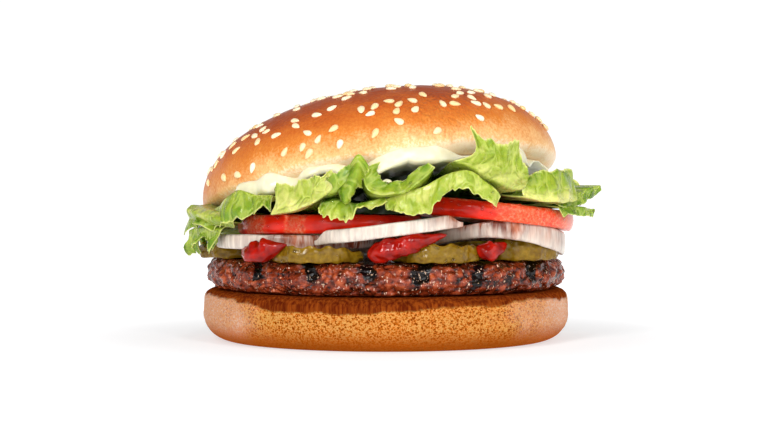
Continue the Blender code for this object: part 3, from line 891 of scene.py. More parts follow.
@dataclass(frozen=True)
class SauceFinish:
    """A smooth wet sauce."""

    name: str
    body: Colour
    thin: Colour
    glow: Triple
    weight: float = 0.2
    gloss: float = 0.16

    def material(self) -> Material:
        """Builds the material.

        Returns:
            The material.
        """
        b = Brush(self.name)
        colour = b.ramp(b.grain(3.5, 3.0, 0.5), [(0.3, self.body), (0.75, self.thin)])
        return b.surface(
            Base_Color=colour,
            Roughness=self.gloss,
            Normal=b.relief(b.grain(1.8, 2.0, 0.5), 0.08, 0.4),
            Specular_IOR_Level=0.3,
            **glowing(self.weight, self.glow, 1.2),
        )


@dataclass(frozen=True)
class LeafFinish:
    """Iceberg lettuce: fresh green with paler veins, yellower towards the rib, waxy and crisp."""

    blade: Colour = tint(148, 166, 44)
    edge: Colour = tint(100, 136, 24)
    rib: Colour = tint(212, 212, 122)
    vein: Colour = tint(206, 214, 116)
    # Colour of the painted highlight along the leaves' edges.
    rim: Colour = tint(224, 228, 136)
    shade: Colour = tint(80, 104, 24)

    def material(self) -> Material:
        """Builds the material, which reads the values green, rim and dark and the blade's UV map.

        Returns:
            The material.
        """
        b = Brush("lettuce_leaf")
        mottle = b.grain(5.0, 4.0, 0.6)
        green = b.sum(b.painted("green"), b.span(mottle, 0.25, 0.75, -0.24, 0.24))
        stops = [(0.0, self.rib), (0.4, self.blade), (0.85, self.edge), (1.0, self.shade)]
        colour = b.ramp(green, stops)
        blade = b.add("ShaderNodeUVMap", {}, uv_map="blade").outputs["UV"]
        inputs = {"Vector": blade, "Scale": 2.5, "Detail": 2.0}
        stray = b.add("ShaderNodeTexNoise", inputs).outputs["Color"]
        inputs = {0: stray, 1: (0.5, 0.5, 0.5), 2: blade}
        bent = b.add("ShaderNodeVectorMath", inputs, operation="MULTIPLY_ADD").outputs["Vector"]
        inputs = {"Vector": bent, "Scale": 2.0}
        cells = b.add("ShaderNodeTexVoronoi", inputs, feature="DISTANCE_TO_EDGE").outputs["Distance"]
        veins = b.span(cells, 0.0, 0.14, 1.0, 0.0)
        colour = b.lay(b.times(veins, 0.3), colour, self.vein)
        # Painted highlight: a pale outline along each leaf's free edge and sides.
        colour = b.lay(b.times(b.painted("rim"), 0.75), colour, self.rim)
        # Painted shade: the dark value darkens the colour by the shade green, towards each leaf's root
        # and all over the heap's middle.
        colour = b.lay(b.painted("dark"), colour, b.lay(1.0, colour, self.shade, Blend.MULTIPLY))
        blisters = b.sum(b.span(cells, 0.0, 0.3), b.grain(3.5, 2.0, 0.4))
        return b.surface(
            Base_Color=colour,
            Roughness=b.span(mottle, 0.3, 0.7, 0.16, 0.34),
            Normal=b.relief(blisters, 0.5, 0.8),
            Specular_IOR_Level=0.3,
            **glowing(0.35, (1.0, 1.4, 0.25), 1.5),
        )


@dataclass(frozen=True)
class WaterFinish:
    """Clear water and juice."""

    clear: Colour = WHITE

    def material(self) -> Material:
        """Builds the material.

        Returns:
            The material.
        """
        b = Brush("clear_juice")
        rough = b.span(b.grain(2.0), 0.3, 0.7, 0.02, 0.06)
        return b.surface(Base_Color=self.clear, Roughness=rough, IOR=1.33, Transmission_Weight=1.0)


@dataclass(frozen=True)
class SeedFinish:
    """Hulled sesame seeds, cream, each a little different."""

    pale: Colour = tint(255, 240, 208)
    toasted: Colour = tint(243, 205, 142)

    def material(self) -> Material:
        """Builds the material, which reads the value tone from the mesh.

        Returns:
            The material.
        """
        b = Brush("sesame")
        return b.surface(
            Base_Color=b.lay(b.painted("tone"), self.pale, self.toasted),
            Roughness=0.4,
            Normal=b.relief(b.grain(0.5, 2.0, 0.5), 0.05, 0.5),
            **glowing(0.2, (1.0, 0.8, 0.5), 0.8),
        )


class NodeTree(Graph):
    """Builds a Geometry Nodes tree with named inputs and applies it to an object."""

    def __init__(self, name: str) -> None:
        """Starts a tree that takes and gives a geometry.

        Args:
            name: The tree's name.
        """
        super().__init__(bpy.data.node_groups.new(name, "GeometryNodeTree"))
        self.tree.interface.new_socket("Geometry", in_out="INPUT", socket_type="NodeSocketGeometry")
        self.tree.interface.new_socket("Geometry", in_out="OUTPUT", socket_type="NodeSocketGeometry")
        self.entry = self.tree.nodes.new("NodeGroupInput")
        self.exit = self.tree.nodes.new("NodeGroupOutput")
        self.values: dict[str, object] = {}

    def number(self, name: str, value: float) -> Socket:
        """Adds a named input for a size.

        Args:
            name: The input's name.
            value: What it is set to.

        Returns:
            The socket that carries it.
        """
        kind = "NodeSocketInt" if isinstance(value, int) else "NodeSocketFloat"
        item = self.tree.interface.new_socket(name, in_out="INPUT", socket_type=kind)
        self.values[item.identifier] = value
        return self.entry.outputs[name]

    def arithmetic(self, operation: str, a: object, b: object) -> Socket:
        """Combines two numbers by a named operation."""
        return self.add("ShaderNodeMath", {0: a, 1: b}, operation=operation).outputs[0]

    def direction(self, name: str) -> Socket:
        """Reads a vector kept on the points."""
        kind = "GeometryNodeInputNamedAttribute"
        return self.add(kind, {"Name": name}, data_type="FLOAT_VECTOR").outputs[0]

    def ball(self, segments: int, rings: int, radius: float) -> Socket:
        """Adds a sphere."""
        inputs = {"Segments": segments, "Rings": rings, "Radius": radius}
        return self.add("GeometryNodeMeshUVSphere", inputs).outputs["Mesh"]

    def chance(self, low: float, high: float, seed: Socket) -> Socket:
        """Draws a number for every point or instance."""
        inputs = {2: low, 3: high, "Seed": seed}
        return self.add("FunctionNodeRandomValue", inputs, data_type="FLOAT").outputs[1]

    def upright(self) -> Socket:
        """Turns the Z axis to the vector out, which is kept on the points."""
        kind = "FunctionNodeAlignRotationToVector"
        return self.add(kind, {"Vector": self.direction("out")}, axis="Z").outputs[0]

    def scatter(self, instance: Socket, rotation: Socket, scale: Socket) -> Socket:
        """Sets something on all of the carrier's points.

        Args:
            instance: What is set there.
            rotation: How it is turned.
            scale: How it is scaled.

        Returns:
            The instances.
        """
        smooth = self.add("GeometryNodeSetShadeSmooth", {"Geometry": instance}).outputs[0]
        inputs = {"Points": self.entry.outputs["Geometry"], "Instance": smooth, "Rotation": rotation}
        inputs["Scale"] = scale
        return self.add("GeometryNodeInstanceOnPoints", inputs).outputs[0]

    def finish(self, geometry: Socket, finish: Material) -> None:
        """Ends the tree: realizes the instances and dresses them.

        Args:
            geometry: What has been made.
            finish: The material for it.
        """
        whole = self.add("GeometryNodeRealizeInstances", {"Geometry": geometry}).outputs[0]
        dressed = self.add("GeometryNodeSetMaterial", {"Geometry": whole, "Material": finish}).outputs[0]
        self.tree.links.new(dressed, self.exit.inputs[0])

    def apply(self, carrier: Object) -> Object:
        """Runs the tree on an object and leaves it a plain mesh.

        Args:
            carrier: The object whose mesh the tree reads.

        Returns:
            The same object, with the result as its mesh.
        """
        change = carrier.modifiers.new(self.tree.name, "NODES")
        change.node_group = self.tree
        for identifier, value in self.values.items():
            change[identifier] = value
        graph = bpy.context.evaluated_depsgraph_get()
        made = bpy.data.meshes.new_from_object(carrier.evaluated_get(graph))
        carrier.modifiers.remove(change)
        carrier.data = made
        return carrier


@dataclass
class Heel:
    """The bun's lower half."""

    radius: float = 60.0
    height: float = 17.0
    foot_radius: float = 50.5
    foot_rise: float = 8.5
    uneven: float = 0.5
    dimple_size: float = 1.9
    pit_depth: float = 0.25
    edge_height: float = 3.6
    edge_width: float = 4.5
    segments: int = 720

    def rows(self) -> list[Pair]:
        """Radius and height of each row, from the middle of the underside to that of the top.

        Returns:
            The rows.
        """
        overhang = self.radius - self.foot_radius
        shoulder = self.height - self.edge_height
        rows = [(self.foot_radius * share, 0.0) for share in (0.0, 0.3, 0.6, 0.85, 0.96, 1.0)]
        for turn in arc(0, 90, 26)[1:]:
            rise = self.foot_rise * (1 - cos(turn))
            rows.append((self.foot_radius + overhang * sin(turn), rise))
        for k in range(1, 13):
            share = k / 13
            rise = self.foot_rise + (shoulder - self.foot_rise) * share
            rows.append((self.radius - 0.1 * share, rise))
        for turn in arc(0, 90, 10)[:-1]:
            across = self.radius - self.edge_width + 4.4 * cos(turn)
            rows.append((across, shoulder + self.edge_height * sin(turn)))
        rows += [(self.radius - 5.5, self.height), (0.6 * self.radius, self.height), (0.0, self.height)]
        return rows

    def shape(self, angle: float, radius: float, height: float) -> Triple:
        """Makes the heel slightly out of round and its wall slightly uneven.

        Args:
            angle: The point's angle round the axis.
            radius: Its distance from the axis.
            height: Its height.

        Returns:
            The point that it moves to.
        """
        x, y = cos(angle), sin(angle)
        lift = smoothstep(0.0, 4.0, height) * radius / self.radius
        broad = self.uneven * ripple(30 * x, 30 * y, 0.0, 17.0)
        soft = 0.16 * ripple(radius * x, radius * y, 1.6 * height, 4.0)
        here = Vector((radius * x, radius * y, height))
        sunk = self.pit_depth * (1.0 - self.dimple(here)) * smoothstep(0.1, 2.0, height)
        grown = radius + lift * (broad + soft) - sunk
        return (grown * x, grown * y, height)

    def dimple(self, p: Vector) -> float:
        """0 at the bottom of one of the crust's dimples, 1 between them."""
        nearest = noise.voronoi(strayed(p, 0.3, 1.0, 1.6) / self.dimple_size)[0][0]
        return 1.0 - (1.0 - smoothstep(0.12, 0.72, nearest)) * self.rough(p)

    def rough(self, p: Vector) -> float:
        """How pitted the crust is here: less towards the sides."""
        return 1.0 - 0.55 * self.pale(p) - 0.12 * smoothstep(-0.5, 1.0, ripple(p.x, p.y, p.z, 9.0))

    def soak(self, p: Vector) -> float:
        """How far juices have run down the wall here.

        Args:
            p: A point of the skin.

        Returns:
            1 where the crust is soaked, 0 where it is dry.
        """
        turn = math.atan2(p.y, p.x)
        x, y = cos(turn), sin(turn)
        left = math.exp(-(((math.degrees(turn) + 112.0) / 26.0) ** 2))
        run = 1.2 + 2.6 * left + 1.0 * ripple(22 * x, 22 * y, 3.0, 8.0)
        run += 0.5 * ripple(40 * x, 40 * y, 8.0, 2.5)
        front = self.height - 1.2 - run
        return smoothstep(front - 0.35, front + 0.35, p.z)

    def pale(self, p: Vector) -> float:
        """Smoother crust with a painted pale sheen, towards the sides and less towards the back.

        Args:
            p: A point of the skin.

        Returns:
            How strong the painted sheen is, about 0 to 1.
        """
        side = smoothstep(34.0, 58.0, abs(p.x) + 4.0 * ripple(p.x, p.y, p.z, 7.0))
        round_back = 1.0 - 0.6 * smoothstep(-14.0, 12.0, p.y)
        return side * round_back * (0.85 + 0.3 * ripple(p.x, p.y, p.z, 14.0))

    def build(self) -> None:
        """Builds the heel."""
        shell = turned(self.rows(), self.segments, self.shape)
        shell.brush("soak", self.soak).brush("pale", self.pale)
        # Painted at the foot: browner baking and painted shade.
        shell.brush("rough", self.rough).brush("foot", lambda p: 0.9 * smoothstep(8.5, 1.5, p.z))
        settle(make_piece("bun_heel", [shell], HeelFinish().material()), ["heel"])


@dataclass
class Patty:
    """The flame-grilled patty, notched and charred by the bars of the grill."""

    radius: float = 58.6
    thickness: float = 10.0
    bottom: float = 17.3
    flat_radius: float = 50.0
    crag: float = 0.75
    bar_pitch: float = 17.3
    bar_first: float = -40.2
    bar_count: int = 6
    bar_half_width: float = 3.4
    bar_depth: float = 1.3
    granule: float = 3.6
    edge: float = 4.6
    segments: int = 760

    def mark(self, x: float) -> float:
        """1 on the middle of a grill mark, falling to 0 at its edges."""
        nearest = min(abs(x - self.bar_first - self.bar_pitch * bar) for bar in range(self.bar_count))
        return 1.0 - smoothstep(0.25 * self.bar_half_width, self.bar_half_width, nearest)

    def lump(self, p: Vector) -> float:
        """1 on top of a granule of meat, 0 in the crevices between them.

        Args:
            p: A point of the skin.

        Returns:
            A value from 0 to 1.
        """
        size = self.granule * (1.0 + 0.25 * ripple(p.x, p.y, p.z, 20.0))
        near, next_near = noise.voronoi(strayed(p, 0.9, 4.0, 3.0) / size)[0][:2]
        return smoothstep(0.0, 0.6, next_near - near)

    def shape(self, angle: float, radius: float, height: float) -> Triple:
        """Gives the rim its crags, crumbs and notches.

        Args:
            angle: The point's angle round the axis.
            radius: Its distance from the axis.
            height: Its height.

        Returns:
            The point that it moves to.
        """
        middle = self.bottom + 0.5 * self.thickness
        x, y = radius * cos(angle), radius * sin(angle)
        rim = smoothstep(self.flat_radius - 2.0, self.radius - 2.6, radius)
        upper = smoothstep(middle - 2.5, middle + 1.0, height)
        crag = ripple(x, y, 2.2 * height, 7.0) + 0.5 * ripple(x, y, 3.0 * height, 3.4)
        crumb = 0.16 * ripple(x, y, 1.2 * height, 2.0)
        crumb += 0.8 * (self.lump(Vector((x, y, 1.2 * height))) - 0.75)
        outline = 0.8 * ripple(x, y, 0.0, 30.0)
        push = rim * (self.crag * (crag + crumb) + outline - self.bar_depth * upper * self.mark(x))
        scale = (radius + push) / radius if radius else 1.0
        sink = rim * (0.5 * upper * self.mark(x) + 0.3 * abs(crag)) if height > middle else 0.0
        bumpy = 0.35 * ripple(x, y, 9.0, 2.2) if height > middle else 0.0
        return (x * scale, y * scale, height - sink + bumpy)

    def char(self, p: Vector) -> float:
        """How far this place is charred.

        Args:
            p: A point of the skin.

        Returns:
            How charred it is, about 0 to 1.
        """
        shift = 1.6 * ripple(p.x, p.y, p.z, 5.0)
        upper = smoothstep(self.bottom + 1.5, self.bottom + 6.5, p.z + shift)
        return self.mark(p.x + shift) * upper + 0.3 * smoothstep(0.2, 0.9, ripple(p.x, p.y, p.z, 9.0))

    def build(self) -> None:
        """Builds the patty."""
        half = 0.5 * self.thickness
        flat = self.flat_radius
        rows = [(share * flat, self.bottom) for share in (0.0, 0.6, 1.0)]
        for turn in arc(-80, 80, 40):
            across = self.radius - self.edge + self.edge * cos(turn)
            rows.append((across, self.bottom + half + half * sin(turn)))
        inwards = (flat + 2.4, flat, flat - 2.0, flat - 4.5, flat - 8.0, 0.6 * flat, 0.3 * flat, 0.0)
        rows += [(across, self.bottom + self.thickness) for across in inwards]
        shell = turned(rows, self.segments, self.shape).brush("char", self.char)
        # The lump value carries the finish's painted shade in the crevices.
        shell.brush("lump", lambda p: self.lump(Vector((p.x, p.y, 1.2 * p.z))))
        settle(make_piece("beef_patty", [shell], BeefFinish().material()), ["patty"])


@dataclass
class Pickles:
    """Slices of gherkin, cut with a crinkled blade."""

    thickness: float = 2.6
    edge: float = 0.9
    lip_depth: float = 11.0
    crinkle: float = 0.45
    wave: float = 5.6
    base: float = 27.6
    slices: dict[str, tuple[float, float, float, float, float]] = field(
        default_factory=lambda: {
            "pickle_left": (-47.4, -13.0, 13.2, 20.0, 1.6),
            "pickle_front_left": (-21.0, -42.3, 14.4, 8.0, 2.3),
            "pickle_front_right": (15.4, -43.0, 13.8, -12.0, 3.0),
            "pickle_right": (41.2, -26.5, 13.4, 30.0, 4.2),
            "pickle_back_right": (27.0, 40.0, 13.6, 60.0, 0.6),
            "pickle_back_left": (-32.0, 34.5, 12.8, 110.0, 0.4),
        }
    )

    def slice(self, x: float, y: float, radius: float, turn: float, thicker: float) -> Shell:
        """Builds one slice.

        Args:
            x: Where its middle is.
            y: The same, along Y.
            radius: Its radius.
            turn: The direction of the crinkles in degrees.
            thicker: How much thicker it is at the burger's rim than under the onion.

        Returns:
            Its skin.
        """
        turn = radians(turn)
        shares = (0.0, 0.3, 0.6, 0.8, 0.9)
        rows = [(share * radius, 0.0) for share in shares]
        for up in arc(-90, 90, 10):
            bulge = radius - self.edge + self.edge * cos(up)
            rows.append((bulge, 0.5 * self.thickness * (1 + sin(up))))
        rows += [(share * radius, self.thickness) for share in reversed(shares)]

        def shape(angle: float, r: float, height: float) -> Triple:
            """Crinkles the slice and bends it at the rim.

            Args:
                angle: The point's angle round the axis.
                r: Its distance from the axis.
                height: Its height.

            Returns:
                The point that it moves to.
            """
            wart = 1.0 + 0.025 * sin(7 * angle + x) + 0.015 * sin(11 * angle)
            px, py = r * wart * cos(angle), r * wart * sin(angle)
            rim = smoothstep(0.75 * radius, radius, r)
            bump = 1.0 + rim * 0.03 * ripple(px + x, py + y, 3 * height, 1.8)
            across = px * cos(turn) + py * sin(turn)
            crest = self.crinkle * sin(tau * across / self.wave)
            lumpy = 0.22 * ripple(px + x, py + y, height, 2.4)
            towards_rim = max((px * x + py * y) / hypot(x, y), -py)
            lip = thicker * smoothstep(radius - self.lip_depth, radius - 1.0, towards_rim)
            rise = height * (1.0 + (lip + 0.6 * crest) / self.thickness)
            up = self.base + rise + 0.4 * crest + lumpy * height / self.thickness
            return (x + px * bump, y + py * bump, up)

        shell = turned(rows, 150, shape)
        skin_from, skin_to = radius - 1.6, radius - 0.5
        return shell.brush("skin", lambda p: smoothstep(skin_from, skin_to, hypot(p.x - x, p.y - y)))

    def build(self) -> None:
        """Builds all the slices, each as a piece of its own."""
        finish = PickleFinish().material()
        for name, spec in self.slices.items():
            settle(make_piece("gherkin_" + name[7:], [self.slice(*spec)], finish), [name])


@dataclass
class OnionRing:
    """A ring cut from an onion slice, or a stretch of one.

    Its underside passes low at its centre, climbs by slope and sags by arch to both sides of its x.
    It shows a painted see-through of its neighbours from clear_from to clear_to along X, and white again
    from clear_end.
    """

    x: float
    y: float
    low: float
    half_length: float
    half_depth: float
    height: float = 4.0
    wall: float = 2.7
    slope: Pair = (0.0, 0.0)
    arch: float = 0.0
    taller: float = 0.0
    taller_towards: float = 0.0
    start: float = 0.0
    end: float = 360.0
    clear_from: float = 100.0
    clear_to: float = 110.0
    clear_end: float = 200.0
    clear: float = 0.9
    steps: int = 200

    def shell(self) -> Shell:
        """Sweeps a rounded section round the ring, thinner towards a cut end.

        Returns:
            The skin.
        """
        whole = self.end - self.start >= 360.0
        steps = self.steps if whole else int(self.steps * (self.end - self.start) / 300)
        spans = steps if whole else steps - 1
        sections = []
        for k in range(steps):
            share = k / spans
            turn = radians(self.start + (self.end - self.start) * share)
            full = 1.0 if whole else 0.35 + 0.65 * smoothstep(0.0, 0.12, min(share, 1.0 - share))
            taller = self.taller * cos(turn - radians(self.taller_towards))
            sections.append(self.section(turn, 0.5 * self.wall * full, (self.height + taller) * full))
        shell = swept(sections, whole)
        return shell.brush("clear", self.clearness)

    def section(self, turn: float, half_wall: float, height: float) -> list[Vector]:
        """One section of the ring.

        Args:
            turn: Where it is, round the ring.
            half_wall: Half its width.
            height: Its height.

        Returns:
            Its points.
        """
        points = []
        for k in range(20):
            angle = tau * k / 20
            c, s = cos(angle), sin(angle)
            across = math.copysign(abs(c) ** 0.55, c)
            up = math.copysign(abs(s) ** 0.38, s)
            across *= 1.0 - 0.18 * max(0.0, -up)
            x = (self.half_length + across * half_wall) * cos(turn)
            y = (self.half_depth + across * half_wall) * sin(turn)
            wave = 0.12 * ripple(x, y, 0.0, 6.0)
            rise = self.underside(x, y) + 0.5 * height * (1 + up) + wave
            points.append(Vector((self.x + x, self.y + y, rise)))
        return points

    def underside(self, x: float, y: float) -> float:
        """Height of the underside at a place measured from the ring's centre."""
        return self.low + self.slope[0] * x + self.slope[1] * y - self.arch * x * x

    def clearness(self, p: Vector) -> float:
        """How much painted see-through of the neighbours shows here, most on the ring's upper part.

        Args:
            p: A point of the skin.

        Returns:
            How much of it shows, up to 1.
        """
        near = max(0.14, smoothstep(self.clear_from, self.clear_to, p.x))
        near *= 1.0 - 0.65 * smoothstep(self.clear_end, self.clear_end + 7.0, p.x)
        rise = p.z - self.underside(p.x - self.x, p.y - self.y)
        upper = smoothstep(0.35, 0.75, rise / self.height)
        return min(1.0, near * self.clear * (0.45 + 0.75 * upper + 0.5 * ripple(p.x, p.y, 0.0, 9.0)))


@dataclass
class Onions:
    """The rings of raw onion."""

    rings: dict[str, OnionRing] = field(
        default_factory=lambda: {
            "onion_left": OnionRing(
                -29.0, -25.0, 31.2, 24.0, 20.5, height=3.9, taller=0.9, taller_towards=-100.0,
                clear_from=-42.0, clear_to=-30.0, clear=1.3,
            ),
            "onion_middle": OnionRing(
                3.5, -34.0, 36.0, 31.0, 23.6, height=4.3, wall=2.5, slope=(0.13, 0.0), start=215, end=310,
                clear_from=8.0, clear_to=22.0,
            ),
            "onion_right": OnionRing(
                35.0, -20.5, 33.3, 21.0, 24.0, height=5.4, slope=(-0.06, -0.0625), arch=0.0078,
                taller=2.0, clear_from=19.0, clear_to=26.0, clear_end=39.0, clear=1.2,
            ),
            "onion_back": OnionRing(3.0, 27.0, 29.6, 19.0, 19.0, height=3.6, slope=(0.091, 0.052)),
        }
    )

    def build(self) -> None:
        """Builds the rings."""
        finish = OnionFinish().material()
        for name, ring in self.rings.items():
            settle(make_piece("raw_" + name, [ring.shell()], finish), [name])


@dataclass
class TomatoSlice:
    """A tomato slice.

    Its place is that of its underside's centre. It is tipped in degrees to the back and to the right.
    Flesh shows in its rim in the windows flesh, each a direction and a half width in degrees.
    """

    place: Triple
    tip_back: float
    tip_right: float
    radius: float
    thickness: float
    flesh: tuple[Pair, ...]

    def shell(self) -> Shell:
        """Builds the slice, with its skin bulging a little at the rim.

        Returns:
            The skin.
        """
        to_burger = (
            Matrix.Translation(self.place)
            @ Matrix.Rotation(radians(self.tip_right), 4, "Y")
            @ Matrix.Rotation(radians(-self.tip_back), 4, "X")
        )
        high = self.thickness
        shares = (0.0, 0.3, 0.6, 0.85, 0.93)
        rim = (
            (1.0, 0.0), (0.6, 0.05), (0.3, 0.14), (0.1, 0.28), (0.0, 0.45),
            (0.0, 0.6), (0.12, 0.76), (0.35, 0.88), (0.7, 0.97), (1.2, 1.0),
        )
        rows = [(share * self.radius, 0.0) for share in shares]
        rows += [(self.radius - inward, up * high) for inward, up in rim]
        rows += [(share * self.radius, high) for share in reversed(shares)]

        def shape(angle: float, r: float, height: float) -> Triple:
            """Makes the slice slightly lobed and uneven.

            Args:
                angle: The point's angle round the axis.
                r: Its distance from the axis.
                height: Its height.

            Returns:
                The point that it moves to.
            """
            lobes = 1.0 + 0.012 * sin(5 * angle + 1.0) + 0.008 * sin(3 * angle)
            x, y = r * lobes * cos(angle), r * lobes * sin(angle)
            uneven = 0.0 if r == self.radius else 0.1
            return (x, y, height + uneven * ripple(x, y, height, 3.0))

        shell = turned(rows, 200, shape, to_burger)
        centre = Vector(self.place)
        shell.brush("flesh", lambda p: self.shown_flesh(p - centre))
        shell.brush("pale", lambda p: self.paleness(p - centre))
        return shell

    def shown_flesh(self, p: Vector) -> float:
        """1 where flesh shows, on the cut faces and in the given windows of the rim.

        Args:
            p: A point of the skin.

        Returns:
            A value from 0 to 1.
        """
        across = hypot(p.x, p.y)
        cut = 1.0 - smoothstep(self.radius - 1.8, self.radius - 0.8, across)
        turn = math.degrees(math.atan2(p.y, p.x))
        return max(cut, strongest(turn, self.flesh, 0.2, 1.8))

    def paleness(self, p: Vector) -> float:
        """Pale firm flesh at both sides, and here and there between; at the right end, a painted wet
        highlight.

        Args:
            p: A point of the skin.

        Returns:
            How pale it is, from 0 to 1.
        """
        turn = math.atan2(p.y, p.x)
        # The right end is paler: a painted wet highlight.
        sides = (0.55 if p.x > 0.0 else 0.15) * smoothstep(0.78, 1.0, abs(p.x) / self.radius)
        broad = ripple(20 * cos(turn), 20 * sin(turn), 0.0, 14.0)
        return max(sides, 0.5 * smoothstep(0.5, 1.0, broad))


@dataclass
class Tomatoes:
    """The two tomato slices."""

    slices: dict[str, TomatoSlice] = field(
        default_factory=lambda: {
            "tomato_left": TomatoSlice(
                (-18.3, -18.6, 35.1), 2.6, 0.0, 29.8, 5.9,
                flesh=((-142, 9), (-110, 6), (175, 20), (60, 9), (20, 10)),
            ),
            "tomato_right": TomatoSlice(
                (30.6, -20.0, 39.1), 3.5, 5.8, 29.0, 5.7,
                flesh=((-62, 20), (-30, 10), (10, 12), (80, 9), (150, 12)),
            ),
        }
    )

    def build(self) -> None:
        """Builds the slices."""
        finish = TomatoFinish().material()
        for name, spec in self.slices.items():
            settle(make_piece("slice_" + name, [spec.shell()], finish), [name])


@dataclass
class Droplets:
    """Droplets of water and juice on the tomatoes, the pickles and the leaves."""

    size: float = 1.5
    flatness: float = 0.6
    sources: tuple[tuple[str, int], ...] = (
        ("slice_tomato_right", 42),
        ("slice_tomato_left", 26),
        ("gherkin_front_right", 22),
        ("gherkin_front_left", 14),
        ("gherkin_right", 12),
        ("lettuce_front", 40),
    )
    front: float = -0.3
    lowest: float = -0.2
    outside: float = 0.038

    def spots(self) -> list[tuple[Vector, Vector]]:
        """Places and normals of the droplets, on faces that look outwards and not down.

        Returns:
            A place and a normal for each.
        """
        draw = random.Random(5)
        spots = []
        for name, count in self.sources:
            mesh = bpy.data.objects[name].data
            size = len(mesh.polygons)
            found = 0
            while found < count:
                face = mesh.polygons[draw.randrange(size)]
                facing = face.normal.y < self.front and face.normal.z > self.lowest
                if facing and face.area > 1e-9 and hypot(*face.center.xy) > self.outside:
                    spots.append((face.center.copy(), face.normal.copy()))
                    found += 1
        return spots

    def tree(self) -> NodeTree:
        """Builds the tree that sets a flattened drop on every point.

        Returns:
            The tree.
        """
        t = NodeTree("droplets")
        size = t.number("Size", self.size * MM)
        flat = t.number("Flatness", self.flatness)
        seed = t.number("Seed", 3)
        squash = t.add("ShaderNodeCombineXYZ", {0: 1.0, 1: 1.0, 2: flat}).outputs[0]
        inputs = {"Geometry": t.ball(10, 6, 0.5), "Scale": squash}
        shaped = t.add("GeometryNodeTransform", inputs).outputs[0]
        scale = t.times(size, t.arithmetic("POWER", t.chance(0.3, 1.0, seed), 1.6))
        t.finish(t.scatter(shaped, t.upright(), scale), WaterFinish().material())
        return t

    def build(self) -> None:
        """Builds the droplets as one piece."""
        places, normals = zip(*self.spots())
        settle(self.tree().apply(add_points("juice_droplets", places, {"out": normals})))


@dataclass
class Ketchup:
    """Blobs of ketchup, each along a course with a half width and half height at each point."""

    floor: float = 27.4
    sides: int = 28
    sections: int = 56
    blobs: dict[str, tuple] = field(
        default_factory=lambda: {
            "ketchup_left": (
                ((-30.6, -50.6, 33.0), (-34.8, -49.4, 32.0), (-39.5, -47.0, 30.6), (-44.8, -41.0, 30.0)),
                (1.4, 3.0, 4.0, 2.8),
                (0.8, 2.4, 4.1, 3.2),
            ),
            "ketchup_middle": (
                ((-5.6, -54.5, 30.3), (-0.6, -56.3, 31.4), (9.0, -56.6, 33.9), (18.6, -53.6, 36.2)),
                (2.8, 3.2, 2.4, 1.6),
                (2.9, 3.9, 3.0, 1.2),
            ),
            "ketchup_right": (
                ((28.0, -48.8, 32.2), (31.8, -47.0, 31.0), (37.5, -42.4, 33.0)),
                (1.8, 3.0, 1.8),
                (1.6, 3.1, 1.4),
            ),
        }
    )

    def blob(self, course: Sequence, widths: Sequence, heights: Sequence) -> Shell:
        """Sweeps one blob along its course.

        Args:
            course: Points along its middle.
            widths: Its half width at each.
            heights: Its half height at each.

        Returns:
            Its skin.
        """
        sections = []
        for i in range(self.sections):
            share = (i + 0.15) / (self.sections - 0.7)
            middle = catmull(course, share)
            ahead = catmull(course, min(1.0, share + 0.05)) - catmull(course, max(0.0, share - 0.05))
            side = ahead.cross(Vector((0, 0, 1))).normalized()
            up = side.cross(ahead.normalized())
            sizes = catmull([(w, h, 0) for w, h in zip(widths, heights)], share)
            girth = sin(math.pi * share) ** 0.45
            section = []
            for k in range(self.sides):
                angle = tau * k / self.sides
                c, s = cos(angle), sin(angle)
                at = (middle.x + 3 * c, middle.y + 3 * s, middle.z + 2 * share)
                lump = 1.0 + 0.24 * ripple(*at, 3.6) + 0.1 * ripple(*at, 1.6)
                point = middle + (side * sizes.x * c + up * sizes.y * s) * girth * lump
                point.z = max(point.z, self.floor + 0.01 * k)
                section.append(point)
            sections.append(section)
        return swept(sections, False)

    def build(self) -> None:
        """Builds the blobs."""
        red = SauceFinish("ketchup_gloss", tint(118, 5, 2), tint(176, 22, 5), (1.6, 0.2, 0.1), 0.06, 0.06)
        finish = red.material()
        for name, blob in self.blobs.items():
            settle(make_piece("blob_" + name, [self.blob(*blob)], finish), [name])


